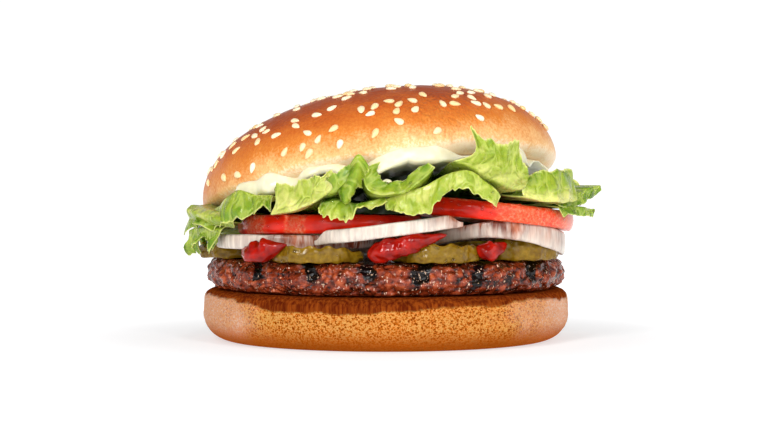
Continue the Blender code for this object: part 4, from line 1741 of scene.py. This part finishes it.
@dataclass
class Crown:
    """The bun's upper half, tipped back and to the left, and its sesame seeds."""

    radius: float = 58.5
    dome: float = 28.2
    power: float = 2.09
    under: float = 4.2
    cut_radius: float = 51.5
    centre: Triple = (-2.0, 0.0, 51.6)
    tip_back: float = 11.5
    tip_left: float = 8.7
    segments: int = 260
    seed_count: int = 235
    seed_spacing: float = 3.9
    seed_closer: float = 3.3
    seed_apart: float = 3.0
    seed_first: int = 88
    seed_lowest: float = 84.0
    seed_length: float = 3.5
    seed_width: float = 2.1
    seed_height: float = 1.3
    seed_raised: float = 0.15
    low_seeds: tuple[Pair, ...] = (
        (-160, 82), (-146, 85), (-138, 87), (-131, 86), (-112, 82),
        (-110, 87), (-100, 85), (-89, 82), (-70, 85),
    )

    def to_burger(self) -> Matrix:
        """Places the crown's own frame, whose z is 0 at its widest.

        Returns:
            The frame.
        """
        left = Matrix.Rotation(radians(-self.tip_left), 4, "Y")
        back = Matrix.Rotation(radians(-self.tip_back), 4, "X")
        return Matrix.Translation(self.centre) @ left @ back

    def cut_height(self, x: float, y: float) -> float:
        """Height of the cut face above a place on the floor.

        Args:
            x: The place along X.
            y: The place along Y.

        Returns:
            The height in millimetres.
        """
        place = self.to_burger()
        normal = place.to_3x3() @ Vector((0, 0, 1))
        on_face = place @ Vector((0, 0, -self.under))
        return on_face.z - (normal.x * (x - on_face.x) + normal.y * (y - on_face.y)) / normal.z

    def rows(self) -> list[Pair]:
        """Radius and height of each row in the crown's frame.

        Returns:
            The rows.
        """
        rows = [(self.cut_radius * share, -self.under) for share in (0.0, 0.3, 0.6, 0.85, 0.95, 1.0)]
        wider = self.radius - self.cut_radius
        for turn in arc(0, 90, 16)[1:]:
            rows.append((self.cut_radius + wider * sin(turn), -self.under * cos(turn)))
        for fall in arc(90, 0, 60)[1:-1]:
            across = sin(fall) ** (2 / self.power)
            rows.append((self.radius * across, self.dome * cos(fall) ** (2 / self.power)))
        return rows + [(0.0, self.dome)]

    def shape(self, angle: float, radius: float, height: float) -> Triple:
        """Makes the crown slightly out of round and its crust slightly uneven.

        Args:
            angle: The point's angle round the axis.
            radius: Its distance from the axis.
            height: Its height.

        Returns:
            The point that it moves to.
        """
        x, y = cos(angle), sin(angle)
        swell = 0.35 * ripple(20 * x, 20 * y, 0.6 * height, 16.0) * radius / self.radius
        soft = 0.13 * ripple(radius * x, radius * y, 1.5 * height, 6.0)
        rim = smoothstep(-self.under + 0.2, 0.0, height)
        return ((radius + swell) * x, (radius + swell) * y, height + rim * soft)

    def browning(self, p: Vector) -> float:
        """How far the crust is browned: most on top, least at the rim.

        Args:
            p: A point of the skin.

        Returns:
            How brown it is, about 0 to 1.
        """
        own = self.to_burger().inverted() @ p
        across = hypot(own.x, own.y) / self.radius
        fall = math.degrees(math.atan2(across, max(0.001, own.z / self.dome)))
        if own.z < 0.0:
            fall = 90.0 + 30.0 * min(1.0, -own.z / self.under)
        patch = 0.1 * ripple(own.x, own.y, own.z, 22.0)
        left = 0.16 * smoothstep(-20.0, -56.0, own.x)
        return 1.0 - smoothstep(38.0, 113.0, fall) + left + patch * smoothstep(100.0, 60.0, fall)

    def crease(self, p: Vector) -> float:
        """Fine creases in the crust, strongest low at the right of the front, with a bump and painted
        shade.

        Args:
            p: A point of the skin.

        Returns:
            How creased it is, from 0 to 1.
        """
        own = self.to_burger().inverted() @ p
        low = smoothstep(24.0, 12.0, own.z) * smoothstep(-3.0, 2.0, own.z)
        here = math.exp(-(((own.x - 22.0) / 13.0) ** 2)) * smoothstep(-20.0, -40.0, own.y)
        return low * (0.12 + 0.88 * here)

    def dome_point(self, turn: float, fall: float) -> tuple[Vector, Vector]:
        """Place and outward normal on the dome.

        Args:
            turn: Angle round its axis.
            fall: Angle down from its top.

        Returns:
            The place and the normal in the crown's frame.
        """
        across = sin(fall) ** (2 / self.power)
        up = cos(fall) ** (2 / self.power)
        steep = across ** (self.power - 1) / self.radius
        flat = up ** (self.power - 1) / self.dome
        x, y = cos(turn), sin(turn)
        place = Vector((self.radius * across * x, self.radius * across * y, self.dome * up))
        return place, Vector((steep * x, steep * y, flat)).normalized()

    def seed_frame(self, turn: float, fall: float, spin: float) -> Matrix:
        """Frame of a seed that lies on the dome.

        Args:
            turn: Angle round the crown's axis.
            fall: Angle down from its top.
            spin: The seed's own turn on the crust.

        Returns:
            The frame in the crown's own.
        """
        place, normal = self.dome_point(turn, fall)
        along = normal.orthogonal().normalized()
        along.rotate(Matrix.Rotation(spin, 3, normal))
        turned_to = Matrix((along, normal.cross(along), normal)).transposed().to_4x4()
        return Matrix.Translation(place) @ turned_to

    def seed_frames(self) -> list[Matrix]:
        """Frames of the seeds in the crown's frame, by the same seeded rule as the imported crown's.

        Returns:
            The frames.
        """
        draw = random.Random(21)
        frames: list[Matrix] = []
        while len(frames) < self.seed_count:
            turn, fall = draw.uniform(0, tau), radians(draw.uniform(1.0, self.seed_lowest))
            spin, clustered = draw.uniform(0, tau), draw.random() < 0.3
            area = sin(fall) * hypot(cos(fall), self.dome / self.radius * sin(fall))
            thin = 1.0 - 0.75 * smoothstep(66.0, self.seed_lowest, math.degrees(fall))
            if draw.random() > 1.6 * area * thin:
                continue
            place, normal = self.dome_point(turn, fall)
            if clustered and frames:
                near = draw.choice(frames).translation
                place = near + (place - near).normalized() * 1.1 * self.seed_spacing
                across = hypot(place.x, place.y) / self.radius
                fall = math.atan2(across, max(0.1, place.z) / self.dome)
                fall = min(fall, radians(self.seed_lowest))
                turn = math.atan2(place.y, place.x)
                place, normal = self.dome_point(turn, fall)
            apart = self.seed_spacing if len(frames) < self.seed_first else self.seed_closer
            if any((place - other.translation).length < apart for other in frames):
                continue
            frames.append(self.seed_frame(turn, fall, spin))
        for turn, fall in self.low_seeds:
            lying = self.seed_frame(radians(turn), radians(fall), draw.uniform(-0.6, 0.6))
            if all((lying.translation - other.translation).length > self.seed_apart for other in frames):
                frames.append(lying)
        return frames

    def seed_tree(self, finish: Material) -> NodeTree:
        """Builds the tree that sets a tear-shaped seed on every point of a mesh.

        Args:
            finish: The seeds' material.

        Returns:
            The tree.
        """
        t = NodeTree("sesame_seeds")
        length = t.number("Length", self.seed_length * MM)
        width = t.number("Width", self.seed_width * MM)
        height = t.number("Height", self.seed_height * MM)
        taper = t.number("Taper", 0.34)
        seed = t.number("Seed", 7)
        at = t.add("GeometryNodeInputPosition", {}).outputs[0]
        parts = t.add("ShaderNodeSeparateXYZ", {0: at}).outputs
        slim = t.arithmetic("SUBTRACT", 1.0, t.times(parts[2], taper))
        x = t.times(parts[2], t.times(length, 0.5))
        y = t.times(t.times(parts[1], slim), t.times(width, 0.5))
        z = t.times(t.times(parts[0], slim), t.times(height, 0.5))
        tear = t.add("ShaderNodeCombineXYZ", {0: x, 1: y, 2: z}).outputs[0]
        inputs = {"Geometry": t.ball(10, 7, 1.0), "Position": tear}
        shaped = t.add("GeometryNodeSetPosition", inputs).outputs[0]
        inputs = {"Rotation": t.upright(), "Vector": t.direction("along")}
        spun = t.add("FunctionNodeAlignRotationToVector", inputs, axis="X", pivot_axis="Z").outputs[0]
        inputs = {"Min": (0.88, 0.86, 0.9), "Max": (1.12, 1.1, 1.1), "Seed": seed}
        size = t.add("FunctionNodeRandomValue", inputs, data_type="FLOAT_VECTOR").outputs[0]
        inputs = {"Geometry": t.scatter(shaped, spun, size), "Name": "tone"}
        inputs["Value"] = t.chance(0.0, 1.0, seed)
        kept = t.add("GeometryNodeStoreNamedAttribute", inputs, data_type="FLOAT", domain="INSTANCE")
        t.finish(kept.outputs[0], finish)
        return t

    def seeds(self) -> Object:
        """Builds the seeds as one piece.

        Returns:
            The seeds.
        """
        place = self.to_burger()
        frames = [place @ own for own in self.seed_frames()]
        out = [own.col[2].to_3d() for own in frames]
        along = [own.col[0].to_3d() for own in frames]
        places = [(own.translation + self.seed_raised * up) * MM for own, up in zip(frames, out)]
        carrier = add_points("sesame_seeds", places, {"out": out, "along": along})
        return self.seed_tree(SeedFinish().material()).apply(carrier)

    def build(self) -> None:
        """Builds the crown and its seeds."""
        shell = turned(self.rows(), self.segments, self.shape, self.to_burger())
        shell.brush("browning", self.browning).brush("crease", self.crease)
        settle(make_piece("bun_crown", [shell], CrustFinish().material()), ["crown"])
        settle(self.seeds())


@dataclass
class Mayonnaise:
    """Mayonnaise under the crown, squeezed out in lobes and in beads over the crown's rim.

    Each lobe and bead is a direction and a half width in degrees, then how far it hangs or swells.
    """

    crown: Crown
    radius: float = 54.6
    inner: float = 0.955
    thickness: float = 1.4
    swell: float = 2.0
    gap: float = 0.1
    lobes: tuple[Triple, ...] = (
        (-126, 16, 2.6), (-92, 13, 3.0), (-72, 10, 2.4), (-38, 12, 3.2), (4, 14, 3.0), (46, 13, 1.8)
    )
    beads: tuple[Triple, ...] = (
        (-131, 13, 1.0), (-108, 9, 0.7), (-78, 14, 0.9), (-42, 9, 0.7),
    )
    bead_radius: float = 57.7
    bead_height: float = -2.9
    drop: Triple = (0.3, -57.0, 52.4)
    drop_radius: float = 1.3

    def shape(self, angle: float, radius: float, height: float) -> Triple:
        """Lets the rim hang down and swell in its lobes.

        Args:
            angle: The point's angle round the axis.
            radius: Its distance from the axis.
            height: Its height.

        Returns:
            The point that it moves to.
        """
        top = -self.crown.under - self.gap
        degrees = math.degrees(angle)
        share = radius / self.radius
        lobe = strongest(degrees, self.lobes, 0.35, 1.25) * smoothstep(0.8, 0.97, share)
        low = smoothstep(top, top - 1.0, height)
        grown = radius + self.swell * low * lobe / 4.0
        swelled = strongest(degrees, self.beads, 0.5, 1.3) * smoothstep(0.9, self.inner, share)
        up = 1.0 - 2.0 * (top - height) / self.thickness
        out = (share - self.inner) / (1.0 - self.inner)
        uneven = 1.0 + 0.35 * ripple(57.0 * cos(angle), 57.0 * sin(angle), 0.0, 5.0)
        grown += swelled * (self.bead_radius + 2.1 * uneven * out - grown)
        height += swelled * (self.bead_height + 1.7 * uneven * up - height)
        x, y = grown * cos(angle), grown * sin(angle)
        soft = low * (0.5 * ripple(x, y, height, 6.0) + 0.25 * ripple(x, y, 2.0 * height, 2.6))
        bulge = 1.0 + 0.016 * soft * smoothstep(0.8, 1.0, share)
        return (x * bulge, y * bulge, height - lobe * low + 0.6 * soft)

    def build(self) -> None:
        """Builds the layer."""
        top = -self.crown.under - self.gap
        low = top - self.thickness
        rows = [(share * self.radius, low) for share in (0.0, 0.5, 0.8, 0.88)]
        for turn in arc(-90, 78, 14):
            across = self.radius * (self.inner + (1.0 - self.inner) * cos(turn))
            rows.append((across, low + 0.5 * self.thickness * (1 + sin(turn))))
        rows += [(0.9 * self.radius, top), (0.0, top)]
        shell = turned(rows, 300, self.shape, self.crown.to_burger())
        ball = [(self.drop_radius * cos(turn), turn) for turn in arc(-75, 75, 10)]
        ball = [(0.0, -0.5 * math.pi), *ball, (0.0, 0.5 * math.pi)]
        x, y, z = self.drop

        def rounded(angle: float, across: float, turn: float) -> Triple:
            """Makes the drop a flattened ball."""
            lift = 0.8 * self.drop_radius * sin(turn)
            return (x + 1.2 * across * cos(angle), y + across * sin(angle), z + lift)

        drop = turned(ball, 16, rounded)
        body, thin = tint(236, 231, 202), tint(226, 219, 182)
        cream = SauceFinish("mayonnaise_gloss", body, thin, (1.5, 1.3, 0.9), 0.5)
        made = make_piece("mayonnaise_layer", [shell, drop], cream.material())
        settle(made, ["mayonnaise"])


@dataclass
class Leaf:
    """A lettuce leaf through two or more rails, which run side by side from one end to the other.

    It grows out of the heap, which it reaches from its first rail by the vector back. The two
    values of green are those at its first rail and at its free edge.
    """

    rails: tuple
    back: Triple
    ruffle: float = 0.7
    frill: float = 0.8
    waves: float = 4.0
    ragged: float = 0.16
    green: Pair = (0.25, 0.7)
    dark: float = 0.0
    vein_scale: float = 0.13

    def grid(self, seed: float, columns: int, rows: int) -> list[list[Vector]]:
        """Points of the blade, from inside the heap to its free edge.

        Args:
            seed: Sets this leaf's own unevenness.
            columns: Points along it.
            rows: Points across it.

        Returns:
            Rows of points.
        """
        grid = []
        for i in range(rows):
            across = i / (rows - 1) * (1.0 + 1.0 / len(self.rails)) - 1.0 / len(self.rails)
            grid.append([self.point(j / (columns - 1), across, seed) for j in range(columns)])
        return grid

    def rail(self, which: int) -> list[Vector]:
        """The first, middle and last point of one of the rails."""
        points = [Vector(point) for point in self.rails[which]]
        return [points[0], points[len(points) // 2], points[-1]]

    def point(self, share: float, across: float, seed: float) -> Vector:
        """A point of the blade.

        Args:
            share: How far along it.
            across: How far across, from below 0 inside the heap to 1 at the free edge.
            seed: Sets this leaf's own unevenness.

        Returns:
            The point.
        """
        rails = [catmull(rail, share) for rail in self.rails]
        free = smoothstep(0.15, 1.0, across)
        torn = ripple(9.0 * self.waves * share, seed, 0.0, 2.0)
        torn += 0.5 * ripple(30.0 * share, seed, 7.0, 1.0)
        reach = max(0.0, across) * (1.0 + self.ragged * free * torn)
        if across < 0.0:
            point = rails[0] - Vector(self.back) * across * len(self.rails)
        elif reach <= 1.0:
            point = catmull(rails, reach)
        else:
            point = rails[-1] + (rails[-1] - catmull(rails, 0.9)) * 10.0 * (reach - 1.0)
        wave = self.ruffle * (0.3 + 0.7 * max(0.0, across)) + 1.4 * smoothstep(0.0, -0.25, across)
        x, y, z = point
        sway = (ripple(x, z, seed, 7.0), ripple(y, z, seed + 5.0, 7.0), ripple(x + y, z, seed + 9.0, 8.0))
        phase = tau * self.waves * share + 2.0 * ripple(8.0 * share, seed, 0.0, 3.0) + seed
        edge = self.rails[-1]
        ahead = catmull(edge, min(1.0, share + 0.02)) - catmull(edge, max(0.0, share - 0.02))
        out = (rails[-1] - rails[0]).cross(ahead)
        if out.length > 1e-6:
            out.normalize()
        curl = 1.5 * self.frill * free * (sin(phase) + 0.35 * sin(2.7 * phase + seed))
        blister = 0.4 * ripple(x, y, z + seed, 4.5)
        return point + wave * Vector(sway) + out * (curl + blister)

    def shell(self, seed: float, columns: int = 90, rows: int = 34, thickness: float = 0.55) -> Shell:
        """Builds the leaf.

        Args:
            seed: Sets this leaf's own unevenness.
            columns: Points along it.
            rows: Points across it.
            thickness: Its thickness in millimetres.

        Returns:
            Its skin, painted with how green it is and with painted shade towards its root.
        """
        made = sheet(self.grid(seed, columns, rows), thickness)
        low, high = self.green
        made.paint["green"] = [low + (high - low) * smoothstep(0.25, 1.0, v) for _, v in made.uv]
        # Painted shade towards the root, inside the heap.
        made.paint["dark"] = [max(self.dark, smoothstep(0.34, 0.05, v)) for _, v in made.uv]
        # Painted highlight along the free edge and the sides.
        sides = [smoothstep(0.47, 0.5, abs(u - 0.5)) for u, _ in made.uv]
        made.paint["rim"] = [max(smoothstep(0.93, 1.0, v), side) for (_, v), side in zip(made.uv, sides)]
        first, last = self.rail(0), self.rail(-1)
        long = self.vein_scale * max((first[-1] - first[0]).length, (last[-1] - last[0]).length)
        wide = self.vein_scale * (last[1] - first[1]).length
        made.uv = [(long * u + seed, wide * v) for u, v in made.uv]
        return made


# The leaves that show at the front, from left to right
FRONT_LEAVES = {
    "left_frill": Leaf((
        (
            (-35, -50, 48.5), (-40.5, -50, 48), (-46.5, -45, 49),
            (-53, -35, 44), (-59, -25, 43), (-63, -14, 44),
        ),
        (
            (-35, -54, 44.5), (-40.5, -53, 43), (-48, -47, 40.5),
            (-55, -38, 38), (-61, -27, 37), (-65.5, -15, 35),
        ),
    ), (19, 17, -4), ruffle=1.4, frill=0.9, waves=4.0, ragged=0.2, green=(0.3, 0.75)),
    "left_low": Leaf((
        ((-52, -40, 37), (-57, -32, 37.5), (-63, -22, 36)),
        ((-54, -38, 33), (-58, -30, 31), (-63, -18, 29)),
    ), (12, 13, 7), ruffle=1.2, frill=1.1, waves=2.4, ragged=0.6, green=(0.4, 0.85)),
    "roll": Leaf((
        ((-46.5, -41, 42), (-54.5, -36, 43), (-62.3, -25, 44.5)),
        ((-47.5, -46, 40.5), (-56, -40, 41.3), (-63.3, -28, 43)),
        ((-47, -43, 38), (-55, -37, 38.8), (-62.3, -25, 40.3)),
    ), (14, 16, 0), ruffle=0.4, frill=0.2, waves=2.0, ragged=0.08, green=(0.3, 0.5)),
    "curl": Leaf((
        ((-35.5, -57, 42.5), (-30, -60, 43.5), (-25.5, -61, 45), (-19, -61, 48.5), (-16, -61, 51)),
        ((-34, -56, 46.5), (-29.5, -58, 47.5), (-24.5, -59, 48.5), (-21, -60, 51), (-16, -60.5, 55)),
        ((-34.5, -52, 52), (-30.5, -55, 52.5), (-25, -58, 53.5), (-20, -60, 55), (-17, -60, 56.5)),
    ), (6, 19, 1), frill=0.35, waves=2.0, ragged=0.1, green=(0.05, 0.35)),
    "blade": Leaf((
        ((-21.5, -60, 49), (-17, -61, 49.5), (-13, -62, 52), (-9, -62, 56)),
        ((-21.5, -59, 51.5), (-18.5, -60, 53.5), (-15, -61, 56), (-9.5, -61.5, 58)),
    ), (4, 21, -4), frill=0.3, waves=1.5, green=(0.5, 0.75)),
    "fold": Leaf((
        ((-11, -61, 58), (-12, -60, 54.5), (-14.5, -60, 51), (-13.5, -61, 47)),
        ((-8, -62.5, 61), (-9, -64, 56.5), (-10.5, -64, 51.5), (-12.5, -62, 46)),
        ((-5, -61.5, 57.5), (-6.5, -61, 53.5), (-9, -61, 49), (-11.5, -61, 46.5)),
    ), (3, 22, -5), frill=0.3, waves=2.0, green=(0.75, 0.45)),
    "loop": Leaf((
        (
            (-5, -61, 57.5), (-6.5, -61, 53.5), (-4.5, -61, 49.5),
            (2, -61, 49), (8, -61.5, 51), (15, -62, 57),
        ),
        (
            (-1.5, -60, 59), (-2, -59, 56), (-0.5, -58, 52.5),
            (3, -58, 52.5), (8, -59, 55), (13, -61, 58),
        ),
    ), (1, 21, -4), frill=0.35, waves=2.0, green=(0.4, 0.7)),
    "cup": Leaf((
        ((-20, -57, 46), (-15.5, -58, 46.5), (-10.5, -58, 45.5), (-4.5, -57, 46.5), (0, -56, 48)),
        ((-21, -59, 43.5), (-17, -60, 41.5), (-11.5, -61, 41), (-6, -59, 45), (0, -58, 46)),
    ), (2, 18, 1), frill=0.8, waves=3.0, ragged=0.25, green=(0.8, 0.25)),
    "ragged": Leaf((
        (
            (-0.5, -57, 47), (5, -59, 49), (11.5, -60, 51),
            (21, -61, 55.5), (27, -60.5, 55), (35, -57, 48),
        ),
        (
            (-0.5, -58, 45), (5, -61, 43), (12.5, -63, 43.5),
            (19, -62, 50), (27, -62, 49.5), (33.5, -60, 45),
        ),
    ), (-1, 20, -1), frill=0.6, waves=3.5, ragged=0.28, green=(0.25, 0.4)),
    "upright": Leaf((
        ((21, -61, 59), (27, -60, 56.5), (32.5, -58, 53.5), (37.5, -55, 51), (42, -51, 50)),
        ((27, -63, 61.5), (31.5, -63, 60.5), (35.5, -61, 58), (39, -58, 56), (43, -53, 52)),
        ((25.5, -65, 69), (30, -65, 65.5), (35, -64, 64.5), (41, -61, 63), (43, -55, 56)),
    ), (-7, 21, -4), frill=0.4, waves=2.5, ragged=0.14, green=(0.2, 0.5)),
    "band": Leaf((
        ((42.5, -52, 48), (49, -50, 46.5), (54.5, -45, 46), (58.5, -35, 46)),
        ((42, -52, 50), (48, -51, 50.5), (54.5, -44, 50.5), (60, -33, 47.5)),
        ((42.5, -50, 53.5), (47.5, -48, 56), (53, -42, 56), (58, -33, 56)),
    ), (-19, 20, 1), frill=0.15, waves=1.5, ragged=0.05, green=(0.0, 0.7)),
    "tip_high": Leaf((
        ((53, -38, 45.5), (60, -30, 48), (65.5, -22, 50), (69, -18, 50.5)),
        ((54, -40, 44), (60, -32, 44.5), (64.5, -25, 46), (69, -18, 49)),
    ), (-30, 14, 1), ruffle=0.4, frill=0.3, waves=2.0, green=(0.6, 0.85)),
    "tip_low": Leaf((
        ((54, -39, 44.5), (60.5, -32, 44), (66.5, -24, 43)),
        ((55.5, -40, 42), (61, -33, 41.5), (66.5, -25, 41)),
    ), (-25, 14, 3), ruffle=0.5, frill=0.3, waves=2.0, green=(0.6, 0.85)),
}


@dataclass
class Lettuce:
    """The heap of lettuce: its own middle, the leaves of the front, and those round the rest."""

    crown: Crown
    radius: float = 38.0
    centre: Pair = (-1.0, -5.0)
    low_back: float = 36.2
    low_front: float = 42.3
    side_root: float = 38.0
    side_fold: float = 57.0
    side_edge: float = 62.0
    side_low: float = 32.2
    side_leaves: tuple[Triple, ...] = (
        (14, 17, 5.6), (48, 16, 4.6), (80, 15, 3.2), (112, 16, 3.2), (145, 15, 3.2), (178, 14, 3.4)
    )

    def side_leaf(self, towards: float, half_width: float, drop: float) -> Leaf:
        """A leaf under the crown's rim, which hangs a little past the bun.

        Args:
            towards: Its direction from the middle in degrees.
            half_width: Half the angle that it takes up.
            drop: How far below the crown's cut face it lies.

        Returns:
            The leaf.
        """
        rails = []
        falls = ((self.side_root, drop), (self.side_fold, drop), (self.side_edge, drop + 3.6))
        for radius, fall in falls:
            rail = []
            for k in range(6):
                turn = radians(towards + half_width * (k / 2.5 - 1.0))
                wave = 1.3 * sin(2.4 * k + towards) * (radius - self.side_root) / 18.0
                x, y = (radius + wave) * cos(turn), (radius + wave) * sin(turn)
                rail.append((x, y, max(self.crown.cut_height(x, y) - fall + 0.8 * wave, self.side_low)))
            rails.append(tuple(rail))
        back = (-3 * cos(turn), -3 * sin(turn), 0)
        return Leaf(tuple(rails), back, ruffle=0.8, frill=1.1, waves=5.0, ragged=0.14, green=(0.2, 0.7))

    def core(self) -> Shell:
        """The middle of the heap, crumpled, and painted in shade all over.

        Returns:
            Its skin.
        """
        place = self.crown.to_burger()
        top = place @ Vector((0, 0, -self.crown.under - 2.7))

        def shape(angle: float, radius: float, height: float) -> Triple:
            """Fills the room below the crown, crumpled.

            Args:
                angle: The point's angle round the axis.
                radius: Its distance from the axis.
                height: Its height.

            Returns:
                The point that it moves to.
            """
            bump = 1.0 + (0.03 * sin(9 * angle) if radius else 0.0)
            x = self.centre[0] + radius * bump * cos(angle)
            y = self.centre[1] + radius * bump * sin(angle)
            ceiling = self.crown.cut_height(x, y) + top.z - self.crown.cut_height(top.x, top.y)
            floor = self.low_back + (self.low_front - self.low_back) * smoothstep(10.0, -22.0, y)
            crumple = 0.8 * ripple(x, y, 9 * height, 4.0) * smoothstep(0.6, 1.0, radius / self.radius)
            return (x + crumple, y + crumple, floor + height * max(0.6, ceiling - floor))

        side = [(self.radius, k / 12) for k in range(13)]
        rows = [(0.0, 0.0), (0.5 * self.radius, 0.0)] + side + [(0.5 * self.radius, 1.0), (0.0, 1.0)]
        shell = turned(rows, 160, shape)
        shell.brush("green", lambda p: 0.9)
        # Painted shade all over: the middle lies in the shadow under the crown.
        return shell.brush("dark", lambda p: 1.0)

    def build(self) -> None:
        """Builds the heap's middle and its leaves."""
        finish = LeafFinish().material()
        front = [leaf.shell(3.0 * k) for k, leaf in enumerate(FRONT_LEAVES.values())]
        settle(make_piece("lettuce_front", front, finish), ["lettuce"])
        sides = [self.side_leaf(*spec) for spec in self.side_leaves]
        around = [leaf.shell(40.0 + 3.0 * k, 80, 26) for k, leaf in enumerate(sides)]
        settle(make_piece("lettuce_round", around, finish), ["lettuce"])
        settle(make_piece("lettuce_middle_in_shade", [self.core()], finish), ["lettuce"])


@dataclass(frozen=True)
class Lamp:
    """A square soft light: its place and the length of its side in metres, and its power in watts."""

    name: str
    place: Triple
    side: float
    power: float


@dataclass
class Studio:
    """A white floor, soft white light and the camera. The room dims overhead and before the burger."""

    eye: Triple = (1.5, -800.0, 66.0)
    target: Triple = (1.5, 0.0, 39.0)
    focal_pixels: float = 2432.0
    picture_width: float = 782.0
    sensor: float = 36.0
    horizon: float = 1.05
    overhead: float = 0.28
    dimming: Pair = (0.12, 0.34)
    before: float = 0.55
    front: Pair = (-0.45, 0.0)
    floor_half: float = 4.0
    floor_glow: Pair = (0.6, 0.95)
    # The floor glows less within this ring round the burger: painted shade there.
    glow_ring: Pair = (0.06, 0.17)
    middle: Triple = (0.0, 0.0, 0.04)
    lamps: tuple[Lamp, ...] = (
        Lamp("key", (-0.45, -1.1, 0.55), 0.26, 6.1),
        Lamp("front", (0.1, -1.6, 0.6), 1.1, 7.4),
        Lamp("side", (1.1, -0.7, 0.5), 0.9, 4.5),
        Lamp("spark_left", (-0.35, -0.95, 0.75), 0.1, 1.6),
        Lamp("spark_right", (0.4, -1.0, 0.5), 0.12, 2.2),
        Lamp("spark_top", (0.05, -0.7, 1.05), 0.12, 1.6),
    )

    def aim(self, made: Object, place: Vector, target: Vector) -> None:
        """Puts a camera or a light at its place and turns it towards a target.

        Args:
            made: The camera or the light.
            place: Where it goes, in metres.
            target: What it looks at, in metres.
        """
        made.location = place
        made.rotation_mode = "QUATERNION"
        made.rotation_quaternion = (target - place).to_track_quat("-Z", "Y")

    def camera(self) -> None:
        """Sets the camera up, level with the fillings and looking slightly down."""
        data = bpy.data.cameras.new("camera")
        data.sensor_width = self.sensor
        data.sensor_fit = "HORIZONTAL"
        data.lens = self.sensor * self.focal_pixels / self.picture_width
        data.clip_start = 0.01
        made = add_object("camera", data)
        self.aim(made, Vector(self.eye) * MM, Vector(self.target) * MM)
        bpy.context.scene.camera = made

    def floor(self) -> None:
        """Lays a wide white floor that glows less near the burger, a painted shade round it."""
        mesh = bpy.data.meshes.new("floor")
        half = self.floor_half
        corners = [(-half, -half, 0), (half, -half, 0), (half, half, 0), (-half, half, 0)]
        mesh.from_pydata(corners, [], [(0, 1, 2, 3)])
        b = Brush("floor_white")
        away = b.add("ShaderNodeVectorMath", {0: b.place}, operation="LENGTH").outputs["Value"]
        b.surface(Base_Color=tint(178, 178, 180), Roughness=1.0, Specular_IOR_Level=0.0)
        b.surface(Emission_Color=WHITE, Emission_Strength=b.span(away, *self.glow_ring, *self.floor_glow))
        mesh.materials.append(b.made)
        made = add_object("floor", mesh)
        made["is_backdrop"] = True

    def room(self) -> None:
        """Surrounds everything with a white room."""
        world = bpy.data.worlds.new("studio")
        world.use_nodes = True
        g = Graph(world.node_tree)
        direction = g.add("ShaderNodeTexCoord", {}).outputs["Generated"]
        parts = g.add("ShaderNodeSeparateXYZ", {0: direction}).outputs
        above = g.span(parts["Z"], *self.dimming, self.horizon, self.overhead)
        before = g.span(parts["Y"], *self.front, self.before)
        background = g.tree.nodes["Background"]
        g.feed(background.inputs["Color"], WHITE)
        g.feed(background.inputs["Strength"], g.times(above, before))
        bpy.context.scene.world = world

    def light(self, lamp: Lamp) -> None:
        """Hangs a light that faces the burger.

        Args:
            lamp: The light.
        """
        data = bpy.data.lights.new(lamp.name, "AREA")
        data.size = lamp.side
        data.energy = lamp.power
        self.aim(add_object(lamp.name, data), Vector(lamp.place), Vector(self.middle))

    def build(self) -> None:
        """Builds the studio."""
        self.camera()
        self.floor()
        self.room()
        for lamp in self.lamps:
            self.light(lamp)
        bpy.context.scene.view_settings.view_transform = "Standard"


def write_sizes() -> None:
    boxes = {"cad": CAD_BOX, "visual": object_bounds()}
    plain = {key: [[float(part) for part in corner] for corner in box] for key, box in boxes.items()}


def main() -> None:
    """Builds the burger from the bottom up, then the studio."""
    logging.basicConfig(level=logging.INFO, format="%(name)s %(message)s")
    crown = Crown()
    fillings = (Pickles(), Ketchup(), Onions(), Tomatoes(), Lettuce(crown), Droplets())
    for part in (Heel(), Patty(), *fillings, Mayonnaise(crown), crown):
        LOG.info("building %s", type(part).__name__.lower())
        part.build()
    Studio().build()
    write_sizes()


if __name__ == "__main__":
    main()
